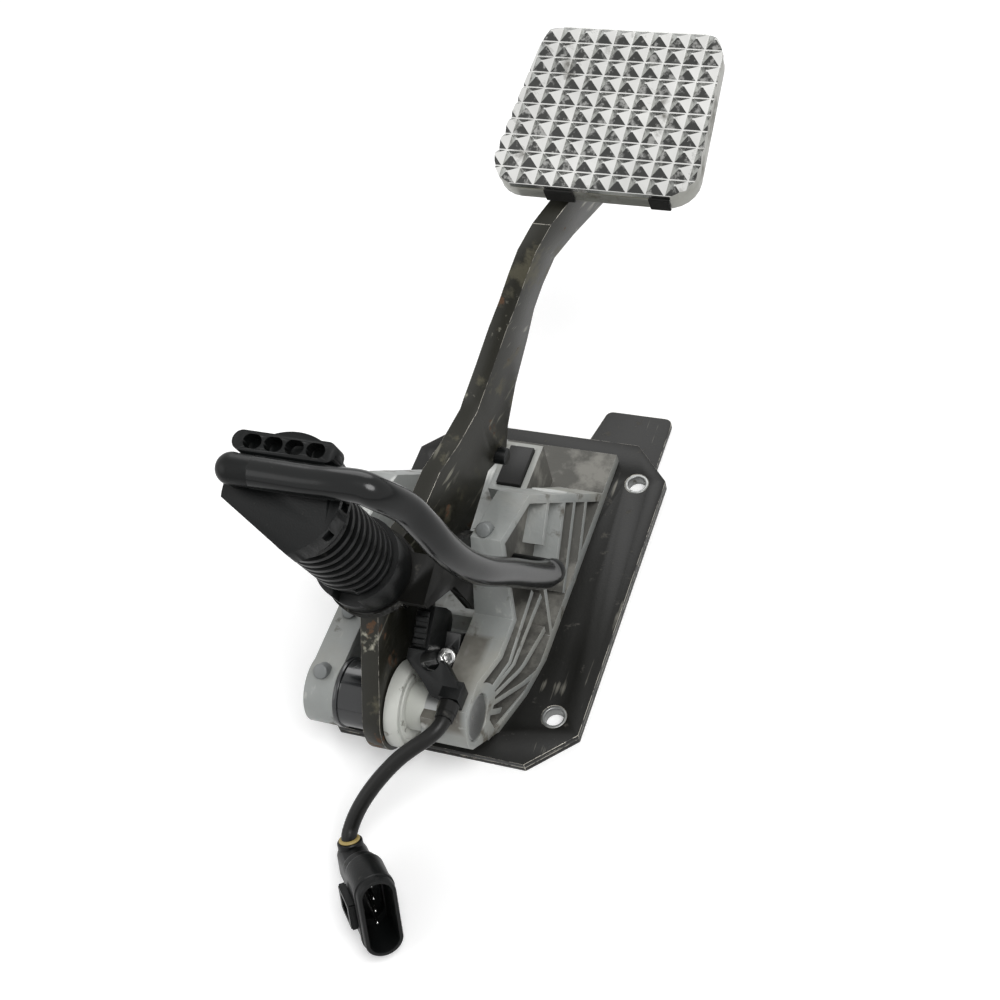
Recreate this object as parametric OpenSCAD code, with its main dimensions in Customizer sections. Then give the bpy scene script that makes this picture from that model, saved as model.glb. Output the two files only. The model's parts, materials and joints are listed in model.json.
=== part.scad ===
/* [Base plates] */
// Width of both base plates, across the pedal
plate_w = 134; // [124:1:150]
// Length of both base plates, without the tongue
plate_l = 189; // [180:1:210]
// Thickness of each of the two plates
plate_t = 3; // [2.5:0.5:5]
// Length of the 45 degree corner cuts
corner_cut = 20; // [10:1:26]
// Spacing of the mounting holes across the plates
hole_dx = 106; // [98:1:112]
// Spacing of the mounting holes along the plates
hole_dy = 138; // [130:1:142]
// Outer diameter of the sleeve in each mounting hole
sleeve_d = 12; // [11:0.5:14]
// Bore of the sleeves, for an M8 bolt
sleeve_bore = 9; // [8.4:0.1:9.5]
// How far the tongue of the lower plate stands out behind
tongue_l = 22; // [12:1:30]
// Width of the tongue at its root
tongue_w = 40; // [30:1:44]

/* [Bracket casting] */
// Height of the pivot axis above the plates
pivot_h = 30; // [27:0.5:34]
// Distance of the pivot axis in front of the middle of the plates
pivot_y = 91; // [86:1:94]
// Radius of the two bosses that hold the shaft
boss_r = 16; // [15:0.5:19]
// Height of the two raised blocks above the plates
block_h = 81; // [70:1:88]
// Height of the front flanges beside the pedal
flange_h = 45; // [42:1:50]
// Thickness of the casting's foot
foot_t = 5; // [4:0.5:7]
// Thickness of the rims and ribs of the casting
rib_t = 3; // [2.2:0.1:4]
// Depth of the ribbed pockets in the right cheek
pocket_d = 15; // [6:1:17]
// Depth of the pockets in the left cheek
left_pocket_d = 6; // [3:0.5:9]

/* [Pedal arm] */
// Thickness of the arm
arm_t = 8.5; // [7:0.5:10]
// Radius of the arm's eye round the pivot
eye_r = 22; // [19:0.5:24]
// Depth of the lower, wide part of the arm
arm_low_depth = 46; // [40:1:50]
// Depth of the upper bar of the arm
arm_depth = 30; // [24:1:32]
// Diameter of the pivot shaft
shaft_d = 22; // [18:0.5:24]
// Wall of the plain bush in the arm
bush_wall = 2; // [1.5:0.5:3]
// Diameter of the black spacer on the shaft
spacer_d = 30.6; // [28:0.2:32]
// Diameter of the white disc beside the arm
disc_d = 40; // [36:0.5:41]
// Thickness of the white disc
disc_t = 6.9; // [5:0.1:7]

/* [Pad] */
// Width of the pad at its lower edge
pad_w = 90; // [80:1:100]
// Width of the pad at its upper edge
pad_top_w = 80; // [70:1:90]
// Length of the pad
pad_l = 82; // [72:1:90]
// Height of the pad's olive frame
pad_h = 9; // [7:0.5:12]
// Corner radius of the pad
pad_r = 13; // [8:0.5:16]
// Tilt of the pad's face towards the driver
pad_tilt = 13; // [8:1:18]
// Spacing of the pyramids on the pad
pyramid_pitch = 7.6; // [7:0.1:10]
// Height of the pyramids
pyramid_h = 3; // [2:0.5:4]

/* [Cylinder] */
// Outer diameter of the barrel over its ribs
barrel_d = 34; // [31:0.5:36]
// Diameter of the barrel between its ribs
barrel_core_d = 28; // [26:0.5:30]
// Length of the ribbed part of the barrel
barrel_l = 56; // [50:1:60]
// Number of ribs round the barrel
rib_count = 9; // [6:1:10]
// Diameter of the head flange
head_d = 50; // [46:1:54]
// Bore of the cylinder
bore_d = 19; // [16:0.5:20]
// Diameter of the push rod
rod_d = 8; // [6:0.5:9]
// Diameter of the pin that joins the rod to the arm
pin_d = 8; // [6:0.5:9]
// Diameter of the moulded feed hose
hose_d = 13; // [11:0.5:13]

/* [Sensor and cable] */
// Diameter of the sensor cable
cable_d = 7; // [6:0.5:8]
// Length of the connector body
plug_l = 44; // [38:1:48]
// Long side of the connector's mouth
plug_w = 33; // [30:1:36]
// Short side of the connector's mouth
plug_t = 17; // [15:0.5:19]

/* [Fits] */
// Running clearance on the radius between the shaft and what turns on it
run_fit = 0.05; // [0.02:0.01:0.1]
// Gap between flat faces that move past each other
side_gap = 0.3; // [0.2:0.05:0.5]

/* [Hidden] */
plate_steel = [0.13, 0.13, 0.13];
cast_grey = [0.70, 0.71, 0.69];
steel = [0.62, 0.62, 0.60];
bright_steel = [0.80, 0.80, 0.80];
arm_paint = [0.24, 0.24, 0.21];
black_plastic = [0.09, 0.10, 0.10];
black_rubber = [0.07, 0.07, 0.07];
nylon = [0.88, 0.88, 0.84];
pin_grey = [0.52, 0.53, 0.52];
olive = [0.42, 0.42, 0.34];
chrome = [0.82, 0.82, 0.82];
seal_tan = [0.72, 0.60, 0.30];
fine = 64;
cut = 1;
plate_top = 2 * plate_t;
// The middle of the plates, seen from the middle of the four mounting holes
plate_mid = [0, -1.5];
pivot = [-pivot_y, pivot_h];

// Puts what is laid out from the middle of the plates' top face into the part's own frame
module on_plates() {
  translate([plate_mid.x, plate_mid.y, plate_top]) children();
}

// Stands a profile drawn as [y, z] across the pedal, from x0 to x1
module across(x0, x1) {
  translate([x0, 0, 0]) rotate([90, 0, 90]) linear_extrude(x1 - x0) children();
}

// A round bar along X through the point [y, z]
module bar_x(d, x0, x1, at) {
  translate([x0, at.x, at.y]) rotate([0, 90, 0]) cylinder(d = d, h = x1 - x0, $fn = fine);
}

function unit(v) = v / norm(v);
function left_of(v) = [-v.y, v.x];
// Moves the sides of a counter-clockwise outline inwards by d
function inset(pts, d) = let (n = len(pts)) [
  for (i = [0 : n - 1])
    let (u = unit(pts[i] - pts[(i + n - 1) % n]), v = unit(pts[(i + 1) % n] - pts[i]))
      pts[i] + d * (left_of(u) + left_of(v)) / (1 + u * v)
];

// Base plates
mount_holes = [for (x = [-1, 1], y = [-1, 1]) [x * hole_dx / 2, y * hole_dy / 2]];
screw_spots = [[-44, -20], [-44, 50], [24, -20], [30, 66]];
screw_d = 8;
screw_head_d = 14;

module plate_outline() {
  x = plate_w / 2;
  y = plate_l / 2;
  c = corner_cut;
  translate(plate_mid) polygon([
    [c - x, -y], [x - c, -y], [x, c - y], [x, y - c],
    [x - c, y], [c - x, y], [-x, y - c], [-x, c - y]
  ]);
}

tongue_x1 = 59;
tongue_corner = 4;
module tongue_outline() {
  x0 = tongue_x1 - tongue_w;
  y1 = plate_l / 2 + tongue_l;
  translate(plate_mid) {
    polygon([
      [x0, plate_l / 2 - cut], [tongue_x1, plate_l / 2 - corner_cut - cut],
      [tongue_x1, y1 - tongue_corner], [tongue_x1 - tongue_corner, y1],
      [x0 + tongue_corner + 4, y1], [x0 + 4, y1 - tongue_corner]
    ]);
    translate([tongue_x1 - tongue_corner, y1 - tongue_corner]) circle(tongue_corner, $fn = fine);
    translate([x0 + 4 + tongue_corner, y1 - tongue_corner]) circle(tongue_corner, $fn = fine);
  }
}

module at_holes() {
  for (p = mount_holes) translate([p.x, p.y, 0]) children();
}

module at_screws() {
  for (p = screw_spots) translate([plate_mid.x + p.x, plate_mid.y + p.y, 0]) children();
}

module lower_plate() {
  color(plate_steel) difference() {
    linear_extrude(plate_t) {
      plate_outline();
      tongue_outline();
    }
    translate([0, 0, -cut]) at_holes() cylinder(d = sleeve_d, h = plate_t + 2 * cut, $fn = fine);
    translate([0, 0, -cut]) at_screws()
      cylinder(d = screw_head_d + 0.6, h = plate_t + 2 * cut, $fn = fine);
  }
}

module upper_plate() {
  color(plate_steel) translate([0, 0, plate_t]) difference() {
    linear_extrude(plate_t) plate_outline();
    translate([0, 0, -cut]) at_holes() cylinder(d = sleeve_d, h = plate_t + 2 * cut, $fn = fine);
    translate([0, 0, -cut]) at_screws()
      cylinder(d = screw_d + 0.6, h = plate_t + 2 * cut, $fn = fine);
  }
}

module mount_sleeves() {
  color(bright_steel) at_holes() difference() {
    cylinder(d = sleeve_d, h = plate_top, $fn = fine);
    translate([0, 0, -cut]) cylinder(d = sleeve_bore, h = plate_top + 2 * cut, $fn = fine);
  }
}

screw_head_t = 2.6;
screw_grip = 4;
module foot_screws() {
  color(steel) at_screws() {
    translate([0, 0, 0.2]) difference() {
      cylinder(d = screw_head_d, h = screw_head_t, $fn = fine);
      translate([0, 0, -cut]) cylinder(d = 6, h = cut + 1.6, $fn = 6);
    }
    translate([0, 0, 0.2 + screw_head_t - 0.01])
      cylinder(d = screw_d, h = plate_top - screw_head_t + screw_grip - 0.2, $fn = fine);
  }
}

// Bracket casting
casting_x0 = -49;
left_inner_x = -34.5;
right_inner_x = 16;
boss_x1 = 30;
foot_x1 = 40;
casting_y0 = -86;
casting_y1 = 83;
slope_foot_y = 62;
slope_top = [3, block_h - 8.5];
block_front_y = -30;
flange_end_y = -47;
draft_per_mm = 0.12;
web_x = foot_x1 - pocket_d;
fan_angles = [6, -2, -16, -32, -50];
fan_lengths = [66, 70, 64, 53, 24];
slope_rib_spots = [0.24, 0.44, 0.57, 0.72];
slope_rib_lengths = [24, 36, 48, 50];
slope_rib_turn = 210;
seat_clear = 0.03;

cheek = [
  [casting_y0, 0], [slope_foot_y, 0], slope_top,
  [block_front_y, block_h], [flange_end_y, flange_h], [-pivot_y, flange_h]
];

module cheek_profile() {
  polygon(cheek);
  translate(pivot) circle(boss_r, $fn = fine);
}

// The block at the front of the right cheek, which holds the shaft and the sensor
block_x0 = 8;
front_block = [
  [10, -pivot_h], [32, -pivot_h], [32, 15.4], [-7, 15.4],
  [-10.5, 10], [-14, 2], [-14, -4], [-12, -8]
];
module right_profile() {
  polygon([
    [-pivot_y + 20, 0], [slope_foot_y, 0], slope_top,
    [block_front_y, block_h], [flange_end_y, flange_h], [-pivot_y + 20, flange_h]
  ]);
  translate(pivot) polygon(front_block);
}

module cheek_ribs() {
  for (i = [0 : len(fan_angles) - 1])
    translate(pivot) rotate(fan_angles[i]) translate([0, -rib_t / 2]) square([fan_lengths[i], rib_t]);
  for (i = [0 : len(slope_rib_spots) - 1])
    translate(slope_top + slope_rib_spots[i] * ([slope_foot_y, 0] - slope_top))
      rotate(slope_rib_turn) translate([0, -rib_t / 2]) square([slope_rib_lengths[i], rib_t]);
  translate([-29, 0]) rotate(64) translate([0, -rib_t / 2]) square([42, rib_t]);
}

module cheek_pockets() {
  difference() {
    polygon(inset(cheek, rib_t + 1));
    translate(pivot) circle(boss_r, $fn = fine);
    cheek_ribs();
  }
}

// The drafted outside of the casting: narrower at the top and round the bosses
module casting_envelope() {
  intersection() {
    translate([0, 200, 0]) rotate([90, 0, 0]) linear_extrude(400)
      polygon([
        [casting_x0, -5], [foot_x1, -5], [foot_x1, 0],
        [foot_x1 - draft_per_mm * 100, 100], [casting_x0, 100]
      ]);
    translate([0, 0, -5]) linear_extrude(120)
      polygon([
        [casting_x0, -120], [boss_x1, -120], [boss_x1, -82], [37, -59],
        [foot_x1, -39], [foot_x1, casting_y1], [casting_x0, casting_y1]
      ]);
  }
}

stop_x0 = -7;
stop_x1 = 12;
stop_y0 = 31;
stop_y1 = 61;
stop_h = 33;
stop_wall = 3;
stop_floor = 12;
stud_d = 7;
stud_seat = 2.2;

module foot() {
  linear_extrude(foot_t) polygon([
    [casting_x0, casting_y0], [27, casting_y0], [37, -59], [foot_x1, -39],
    [foot_x1, casting_y1], [-20, casting_y1], [casting_x0, 60]
  ]);
}

module stop_tower() {
  difference() {
    translate([stop_x0, stop_y0, 0]) cube([stop_x1 - stop_x0, stop_y1 - stop_y0, stop_h]);
    translate([stop_x0 + stop_wall, stop_y0 + stop_wall, stop_floor])
      cube([stop_x1 - stop_x0 - 2 * stop_wall, stop_y1 - stop_y0 - 2 * stop_wall, stop_h]);
  }
}

// Studs stand square to a plane that faces the driver
stud_turn = 43;
studs = [[-42, -91, 46], [-42, -57, 45], [21, -24, 79.5]];
module at_studs() {
  for (s = studs) translate(s) rotate([stud_turn, 0, 0]) children();
}

// Frame of the sensor: u runs along its slanted face, n stands on it
sensor_turn = 37;
module on_sensor() {
  translate([0, -pivot_y, pivot_h]) rotate([sensor_turn, 0, 0]) children();
}
sensor_screw_at = [11.6, 24];
sensor_screw_d = 5;
sensor_flange_n = -3;
sensor_flange_t = 6;
lug_x0 = 9;

module bracket_casting() {
  color(cast_grey) on_plates() difference() {
    union() {
      intersection() {
        casting_envelope();
        union() {
          difference() {
            across(right_inner_x, foot_x1 + cut) right_profile();
            across(web_x, foot_x1 + 2 * cut) cheek_pockets();
          }
          difference() {
            across(casting_x0, left_inner_x) cheek_profile();
            across(casting_x0 - cut, casting_x0 + left_pocket_d) cheek_pockets();
          }
          foot();
        }
      }
      translate([left_inner_x - cut, -34, foot_t - 0.5])
        cube([right_inner_x - left_inner_x + 2 * cut, rib_t, 14]);
      translate([left_inner_x - cut, 14, foot_t - 0.5])
        cube([right_inner_x - left_inner_x + 2 * cut, rib_t, 12]);
      stop_tower();
      across(block_x0, right_inner_x + cut) translate(pivot)
        polygon([[4, -pivot_h], [18, -pivot_h], [14, 0], [8, 8], [-10.5, 10], [-14, 2], [-14, -4], [-12, -8]]);
      on_sensor() translate([lug_x0, 17, sensor_flange_n - sensor_flange_t - 12])
        cube([right_inner_x - lug_x0 + cut, 17, 12]);
    }
    bar_x(shaft_d + 2 * seat_clear, casting_x0 - cut, boss_x1 + cut, pivot);
    at_studs() translate([0, 0, -stud_seat]) cylinder(d = stud_d + 2 * seat_clear, h = 20, $fn = fine);
    for (p = bracket_screw_spots)
      bar_x(bracket_screw_d + 2 * seat_clear, right_inner_x - cut, bracket_screw_end + 0.5, p);
    for (p = screw_spots) translate([p.x, p.y, -cut])
      cylinder(d = screw_d + 2 * seat_clear, h = cut + screw_grip + 0.3, $fn = fine);
    on_sensor() translate([sensor_screw_at.x, sensor_screw_at.y, sensor_flange_n - sensor_flange_t - 10])
      cylinder(d = sensor_screw_d + 2 * seat_clear, h = 20, $fn = fine);
  }
}

stud_l = 4;
module locating_pins() {
  color(pin_grey) on_plates() at_studs() translate([0, 0, -stud_seat + 0.1])
    cylinder(d = stud_d, h = stud_seat + stud_l, $fn = fine);
}

label_d = 21;
module blank_label() {
  slope = [slope_foot_y, 0] - slope_top;
  color([0.9, 0.9, 0.88]) on_plates()
    translate([25, slope_top.x + 0.5 * slope.x, slope_top.y + 0.5 * slope.y])
      rotate([-90 - atan2(slope.x, slope.y) + 180, 0, 0]) cylinder(d = label_d - 4, h = 0.4, $fn = fine);
}

bump_proud = 2;
module bump_stop() {
  w = stop_x1 - stop_x0 - 2 * stop_wall - 0.4;
  l = stop_y1 - stop_y0 - 2 * stop_wall - 0.4;
  color(black_rubber) on_plates()
    translate([stop_x0 + stop_wall + 0.2, stop_y0 + stop_wall + 0.2, stop_floor])
      cube([w, l, stop_h - stop_floor + bump_proud]);
}

// Shaft and what sits on it
arm_x0 = -16.5;
arm_x1 = arm_x0 + arm_t;
disc_x1 = arm_x1 + 0.6 + disc_t;

module shaft_profile(r0, z0, z1) {
  polygon([[0, z0], [r0 - 1, z0], [r0, z0 + 1], [r0, z1 - 1], [r0 - 1, z1], [0, z1]]);
}

module pivot_shaft() {
  color(steel) on_plates() translate([0, -pivot_y, pivot_h]) rotate([0, 90, 0])
    rotate_extrude($fn = fine)
      shaft_profile(shaft_d / 2, casting_x0 + 0.5, boss_x1 - 0.3);
}

ring_w = 1.6;
module shaft_rings() {
  color(bright_steel) on_plates() translate([0, -pivot_y, pivot_h]) rotate([0, 90, 0])
    for (x = [casting_x0 - ring_w - 0.05]) translate([0, 0, x]) difference() {
      cylinder(r = shaft_d / 2 + 1.5, h = ring_w, $fn = fine);
      translate([0, 0, -cut]) cylinder(r = shaft_d / 2 - 3, h = ring_w + 2 * cut, $fn = fine);
    }
}

// A ring round the shaft, from x0 to x1
module ring_x(d_in, d_out, x0, x1) {
  translate([x0, -pivot_y, pivot_h]) rotate([0, 90, 0]) difference() {
    cylinder(d = d_out, h = x1 - x0, $fn = fine);
    translate([0, 0, -cut]) cylinder(d = d_in, h = x1 - x0 + 2 * cut, $fn = fine);
  }
}

turning_bore = shaft_d + 2 * run_fit;
module spacer_bush() {
  x0 = left_inner_x + side_gap;
  x1 = arm_x0 - side_gap;
  color(black_plastic) on_plates() union() {
    ring_x(shaft_d + 2 * seat_clear, spacer_d, x0, x1);
    ring_x(spacer_d - 1, spacer_d + 2, x0, x0 + 2);
  }
}

module arm_bush() {
  color(nylon) on_plates()
    ring_x(turning_bore, shaft_d + 2 * bush_wall, arm_x0, arm_x1);
}

module encoder_disc() {
  color(nylon) on_plates() difference() {
    union() {
      ring_x(turning_bore, disc_d, disc_x1 - disc_t, disc_x1);
      ring_x(turning_bore, shaft_d + 10, arm_x1 + 0.05, disc_x1 - disc_t + cut);
    }
    ring_x(shaft_d + 8, disc_d - 5, disc_x1 - 0.8, disc_x1 + cut);
  }
}

// Position sensor: body over the disc, flange with a screw, neck over the front block
sensor_x0 = disc_x1 + 1;
sensor_x1 = sensor_x0 + 8;
gland_d = 9;
gland_at = [23.6, -98, 50.7];
gland_l = 5;
sensor_head_d = 8.6;

module gland_cylinder(d, l) {
  translate(gland_at) rotate([90, 0, 0]) cylinder(d = d, h = l, $fn = fine);
}

module sensor_housing() {
  color(black_plastic) on_plates() difference() {
    union() {
      on_sensor() {
        across(sensor_x0, sensor_x1)
          polygon([[16, -8], [40, -8], [44, -5], [46, 2], [47, 15], [23, 18], [19, 12]]);
        across(sensor_x1 - 0.5, right_inner_x - 0.6)
          translate([17, sensor_flange_n - sensor_flange_t]) square([18, sensor_flange_t]);
        translate([0, 0, 16.8]) linear_extrude(4)
          polygon([[0.5, 23], [9, 15], [14, 9], [18.6, 7.6], [27, 7.6], [27, 14], [20, 23], [9, 28], [0.5, 28]]);
      }
      translate([19, gland_at.y + 0.5, 46]) cube([9, 9, 9.2]);
    }
    on_sensor() translate([sensor_screw_at.x, sensor_screw_at.y, 0]) {
      translate([0, 0, sensor_flange_n]) cylinder(d = sensor_head_d + 0.6, h = 40, $fn = fine);
      translate([0, 0, -30]) cylinder(d = sensor_screw_d + 0.4, h = 60, $fn = fine);
    }
    translate([0, 1.5, 0]) gland_cylinder(cable_d + 0.6, 10);
  }
}

module sensor_cover() {
  color([0.13, 0.13, 0.14]) on_plates() on_sensor() {
    translate([sensor_x0 + 1, 28.5, 17.4]) cube([sensor_x1 - sensor_x0 - 2, 16, 1.2]);
    for (i = [0 : 2]) translate([sensor_x0 + 1, 30 + 5 * i, 18.5])
      cube([sensor_x1 - sensor_x0 - 2, 2.5, 1.2]);
  }
}

module sensor_screw() {
  color(bright_steel) on_plates() on_sensor()
    translate([sensor_screw_at.x, sensor_screw_at.y, sensor_flange_n]) {
      translate([0, 0, -sensor_flange_t - 9]) cylinder(d = sensor_screw_d, h = sensor_flange_t + 9.1, $fn = fine);
      translate([0, 0, 0.02]) difference() {
        cylinder(d = sensor_head_d, h = 5, $fn = fine);
        translate([0, 0, 2]) cylinder(d = 4.6, h = 4, $fn = 6);
      }
    }
}

module cable_gland() {
  color(black_rubber) on_plates() difference() {
    union() {
      gland_cylinder(gland_d, gland_l);
      translate([gland_at.x, gland_at.y - gland_l + cut, gland_at.z]) rotate([90, 0, 0])
        cylinder(d1 = gland_d - 0.4, d2 = cable_d + 1.4, h = 4, $fn = fine);
    }
    translate([0, cut, 0]) gland_cylinder(cable_d + 0.6, gland_l + 20);
  }
}

// Points on a smooth line through the given ones, n steps between two of them
function spline(p, n) = let (m = len(p) - 1) [
  for (i = [0 : m - 1], k = [0 : n - 1])
    let (
      a = p[max(i - 1, 0)], b = p[i], c = p[i + 1], d = p[min(i + 2, m)], t = k / n
    )
      0.5 * (2 * b + t * (c - a) + t * t * (2 * a - 5 * b + 4 * c - d)
        + t * t * t * (3 * b - a - 3 * c + d)),
  p[m]
];

// A round tube swept along a line; aside is a direction that the line never follows
module swept(line, d, sides, aside) {
  m = len(line) - 1;
  rings = [
    for (i = [0 : m])
      let (
        t = unit(line[min(i + 1, m)] - line[max(i - 1, 0)]),
        u = unit(cross(t, aside)), v = cross(t, u)
      )
        for (k = [0 : sides - 1])
          line[i] + d / 2 * (cos(360 * k / sides) * u + sin(360 * k / sides) * v)
  ];
  walls = [
    for (i = [0 : m - 1], k = [0 : sides - 1])
      let (a = i * sides + k, b = i * sides + (k + 1) % sides)
        for (f = [[a, b, b + sides], [a, b + sides, a + sides]]) f
  ];
  ends = [[for (k = [sides - 1 : -1 : 0]) k], [for (k = [0 : sides - 1]) m * sides + k]];
  polyhedron(rings, concat(walls, ends), convexity = 6);
}

// Connector, from its rear end to its mouth
plug_rear = [-14.6, -157.7, 20.9];
plug_rise = -15;
plug_azimuth = -45;
plug_roll = 45;
plug_wall = 2;
plug_cavity = 22;
module on_plug() {
  translate(plug_rear) rotate([0, 90 - plug_rise, plug_azimuth]) rotate([0, 0, plug_roll]) children();
}

plug_dir = [
  cos(plug_rise) * cos(plug_azimuth), cos(plug_rise) * sin(plug_azimuth), sin(plug_rise)
];
cable_path = [
  [23.6, -97.5, 50.7], [23.6, -102, 50.7], [23.6, -106.5, 50.7], [21.6, -110.5, 49.9],
  [16.6, -114.5, 46.8],
  [10.5, -118.7, 43], [5, -125, 39.5], [-0.7, -131.8, 36], [-7.9, -141, 31.2],
  [-14, -147.5, 27.2], [-18.5, -152.5, 24.2], plug_rear - 3 * plug_dir, plug_rear + plug_dir,
  plug_rear + 6 * plug_dir
];
module sensor_cable() {
  color(black_rubber) on_plates() swept(spline(cable_path, 3), cable_d, 12, [0.5, 0, 1]);
}

module oval(w, t) {
  for (s = [-1, 1]) translate([s * (w - t) / 2, 0]) circle(d = t, $fn = fine);
  square([w - t, t], center = true);
}

module connector_housing() {
  color(black_plastic) on_plates() on_plug() difference() {
    union() {
      cylinder(d = cable_d + 5, h = 10, $fn = fine);
      translate([0, 0, 6]) linear_extrude(14) oval(20, 13);
      translate([0, 0, plug_l - plug_cavity - 4]) linear_extrude(plug_cavity + 4) oval(plug_w, plug_t);
      translate([0, 0, plug_l - 6]) linear_extrude(2) oval(plug_w + 2, plug_t + 2);
    }
    translate([0, 0, plug_l - plug_cavity]) linear_extrude(plug_cavity + cut)
      oval(plug_w - 2 * plug_wall, plug_t - 2 * plug_wall);
    translate([0, 0, -cut]) cylinder(d = cable_d + 0.6, h = cut + 6.5, $fn = fine);
    for (i = [-1.5 : 1 : 1.5]) translate([5 * i, 0, plug_l - plug_cavity - 5])
      cylinder(d = 1.6 + 0.06, h = 6, $fn = 16);
  }
}

module connector_pins() {
  color(bright_steel) on_plates() on_plug()
    for (i = [-1.5 : 1 : 1.5]) translate([5 * i, 0, plug_l - plug_cavity - 4.9])
      cylinder(d = 1.6, h = 18, $fn = 16);
}

module connector_seal() {
  color(seal_tan) on_plates() on_plug() translate([0, 0, -2.02]) difference() {
    cylinder(d = cable_d + 4, h = 2, $fn = fine);
    translate([0, 0, -cut]) cylinder(d = cable_d + 1, h = 4, $fn = fine);
  }
}

module connector_latch() {
  color(black_plastic) on_plates() on_plug() translate([-5, plug_t / 2 + 0.02, plug_l - 24])
    difference() {
      cube([10, 3, 17]);
      translate([2, -cut, 3]) cube([6, 5, 9]);
    }
}

// Cylinder: its axis leans towards the driver, through the pin in the arm
rod_pin_at = [-12.25, -60, 74];
lean = 17.8;
module on_cylinder() {
  translate(rod_pin_at) rotate([lean, 0, 0]) children();
}
seat_z = 24;
seat_t = 5;
collar_z = seat_z + seat_t;
collar_h = 17;
collar_d = 38;
barrel_z = collar_z + collar_h;
head_z = barrel_z + barrel_l;
head_t = 24;
rod_hole_d = 24;
leg_x0 = 11.5;
leg_x1 = right_inner_x - 0.05;
bracket_screw_d = 6;
bracket_screw_spots = [[-34, 54], [-29, 68]];
bracket_screw_end = 22.5;

module cylinder_bracket() {
  color(plate_steel) on_plates() difference() {
    union() {
      on_cylinder() {
        translate([0, 0, seat_z]) cylinder(d = collar_d + 2, h = seat_t, $fn = fine);
        translate([0, -11, seat_z]) cube([leg_x1 - rod_pin_at.x, 22, seat_t]);
      }
      across(leg_x0, leg_x1)
        polygon([
          [-77.8, 93.5], [-79.3, 98.2], [-58.4, 105], [-50, 101],
          [-25, 78], [-25, 46], [-46, 46], [-54, 76]
        ]);
    }
    on_cylinder() translate([0, 0, seat_z - cut]) cylinder(d = rod_hole_d, h = seat_t + 2 * cut, $fn = fine);
    for (p = bracket_screw_spots) bar_x(bracket_screw_d + 0.4, leg_x0 - cut, leg_x1 + cut, p);
    on_cylinder() for (s = [-14, 14]) translate([s, 0, seat_z - cut])
      cylinder(d = 5.4, h = seat_t + 2 * cut, $fn = fine);
  }
}

module bracket_screws() {
  color(steel) on_plates() for (p = bracket_screw_spots) {
    bar_x(bracket_screw_d, leg_x0 - 0.1, bracket_screw_end, p);
    difference() {
      bar_x(10, leg_x0 - 4.05, leg_x0 - 0.05, p);
      translate([leg_x0 - 5, p.x, p.y]) rotate([0, 90, 0]) cylinder(d = 5.6, h = 3, $fn = 6);
    }
  }
}

module cylinder_screws() {
  color(steel) on_plates() on_cylinder() for (s = [-14, 14]) translate([s, 0, 0]) {
    translate([0, 0, seat_z - 2.5]) cylinder(d = 8, h = 2.45, $fn = fine);
    translate([0, 0, seat_z - 1]) cylinder(d = 5, h = seat_t + 10, $fn = fine);
  }
}

module cylinder_barrel() {
  pitch = barrel_l / rib_count;
  color(black_plastic) on_plates() on_cylinder() difference() {
    union() {
      translate([0, 0, collar_z + 0.02]) cylinder(d = collar_d, h = collar_h, $fn = fine);
      translate([0, 0, barrel_z - cut]) cylinder(d = barrel_core_d, h = barrel_l + cut, $fn = fine);
      for (i = [0 : rib_count - 1]) translate([0, 0, barrel_z + (i + 0.35) * pitch])
        cylinder(d = barrel_d, h = 0.42 * pitch, $fn = fine);
    }
    translate([0, 0, collar_z - cut]) cylinder(d = rod_hole_d, h = cut + 8, $fn = fine);
    translate([0, 0, collar_z]) cylinder(d = bore_d, h = head_z - 6 - collar_z, $fn = fine);
    for (s = [-14, 14]) translate([s, 0, collar_z - cut]) cylinder(d = 5.06, h = cut + 11, $fn = fine);
    translate([-6, -collar_d / 2 - cut, collar_z + 9]) cube([12, 6, collar_h]);
  }
}

// Head: a cup that widens upwards, with a comb of open cells behind the hose
cup_h = 14;
comb_x0 = -19;
comb_y = 16.4;
comb_w = 8.4;
cell_pitch = 9;
cell_n = 4;
hose_y = 4.5;
hose_z = head_z + head_t + hose_d / 2 + 0.2;
elbow_x = -19.5;
elbow_x1 = -10;

module cylinder_head() {
  color(black_plastic) on_plates() on_cylinder() difference() {
    union() {
      translate([0, 0, head_z + 0.02]) cylinder(d1 = collar_d - 2, d2 = head_d, h = cup_h, $fn = fine);
      translate([0, 0, head_z + cup_h]) cylinder(d = head_d, h = head_t - cup_h, $fn = fine);
      translate([comb_x0, comb_y - comb_w / 2, head_z + head_t - cut])
        cube([cell_n * cell_pitch, comb_w, 8]);
      for (x = [comb_x0, comb_x0 + cell_n * cell_pitch]) translate([x, comb_y, head_z + head_t - cut])
        cylinder(d = comb_w, h = 8, $fn = fine);
    }
    for (i = [0 : cell_n - 1])
      translate([comb_x0 + (i + 0.5) * cell_pitch, comb_y, head_z + head_t + 1]) {
        translate([-1, 0, 0]) cylinder(d = comb_w - 2.4, h = 9, $fn = 32);
        translate([1, 0, 0]) cylinder(d = comb_w - 2.4, h = 9, $fn = 32);
        translate([-1, 1.2 - comb_w / 2, 0]) cube([2, comb_w - 2.4, 9]);
      }
    for (a = [-130, -155]) rotate(a) translate([head_d / 2 - 7, -4, head_z + 5]) cube([9, 8, 11]);
    for (a = [-30 : 30 : 120]) rotate(a) translate([head_d / 2 - 2, -2, head_z + cup_h + 2]) cube([4, 4, 6]);
  }
}

// Elbow on top of the head, where the feed hose starts
module head_port() {
  color(black_plastic) on_plates() on_cylinder() {
    translate([elbow_x, hose_y, head_z + head_t + 0.05]) cylinder(d = hose_d - 2, h = 5, $fn = fine);
    translate([elbow_x, hose_y, hose_z]) sphere(d = hose_d, $fn = 32);
    translate([elbow_x, hose_y, hose_z]) rotate([0, 90, 0])
      cylinder(d = hose_d - 0.4, h = elbow_x1 - elbow_x - 0.05, $fn = fine);
  }
}

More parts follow.
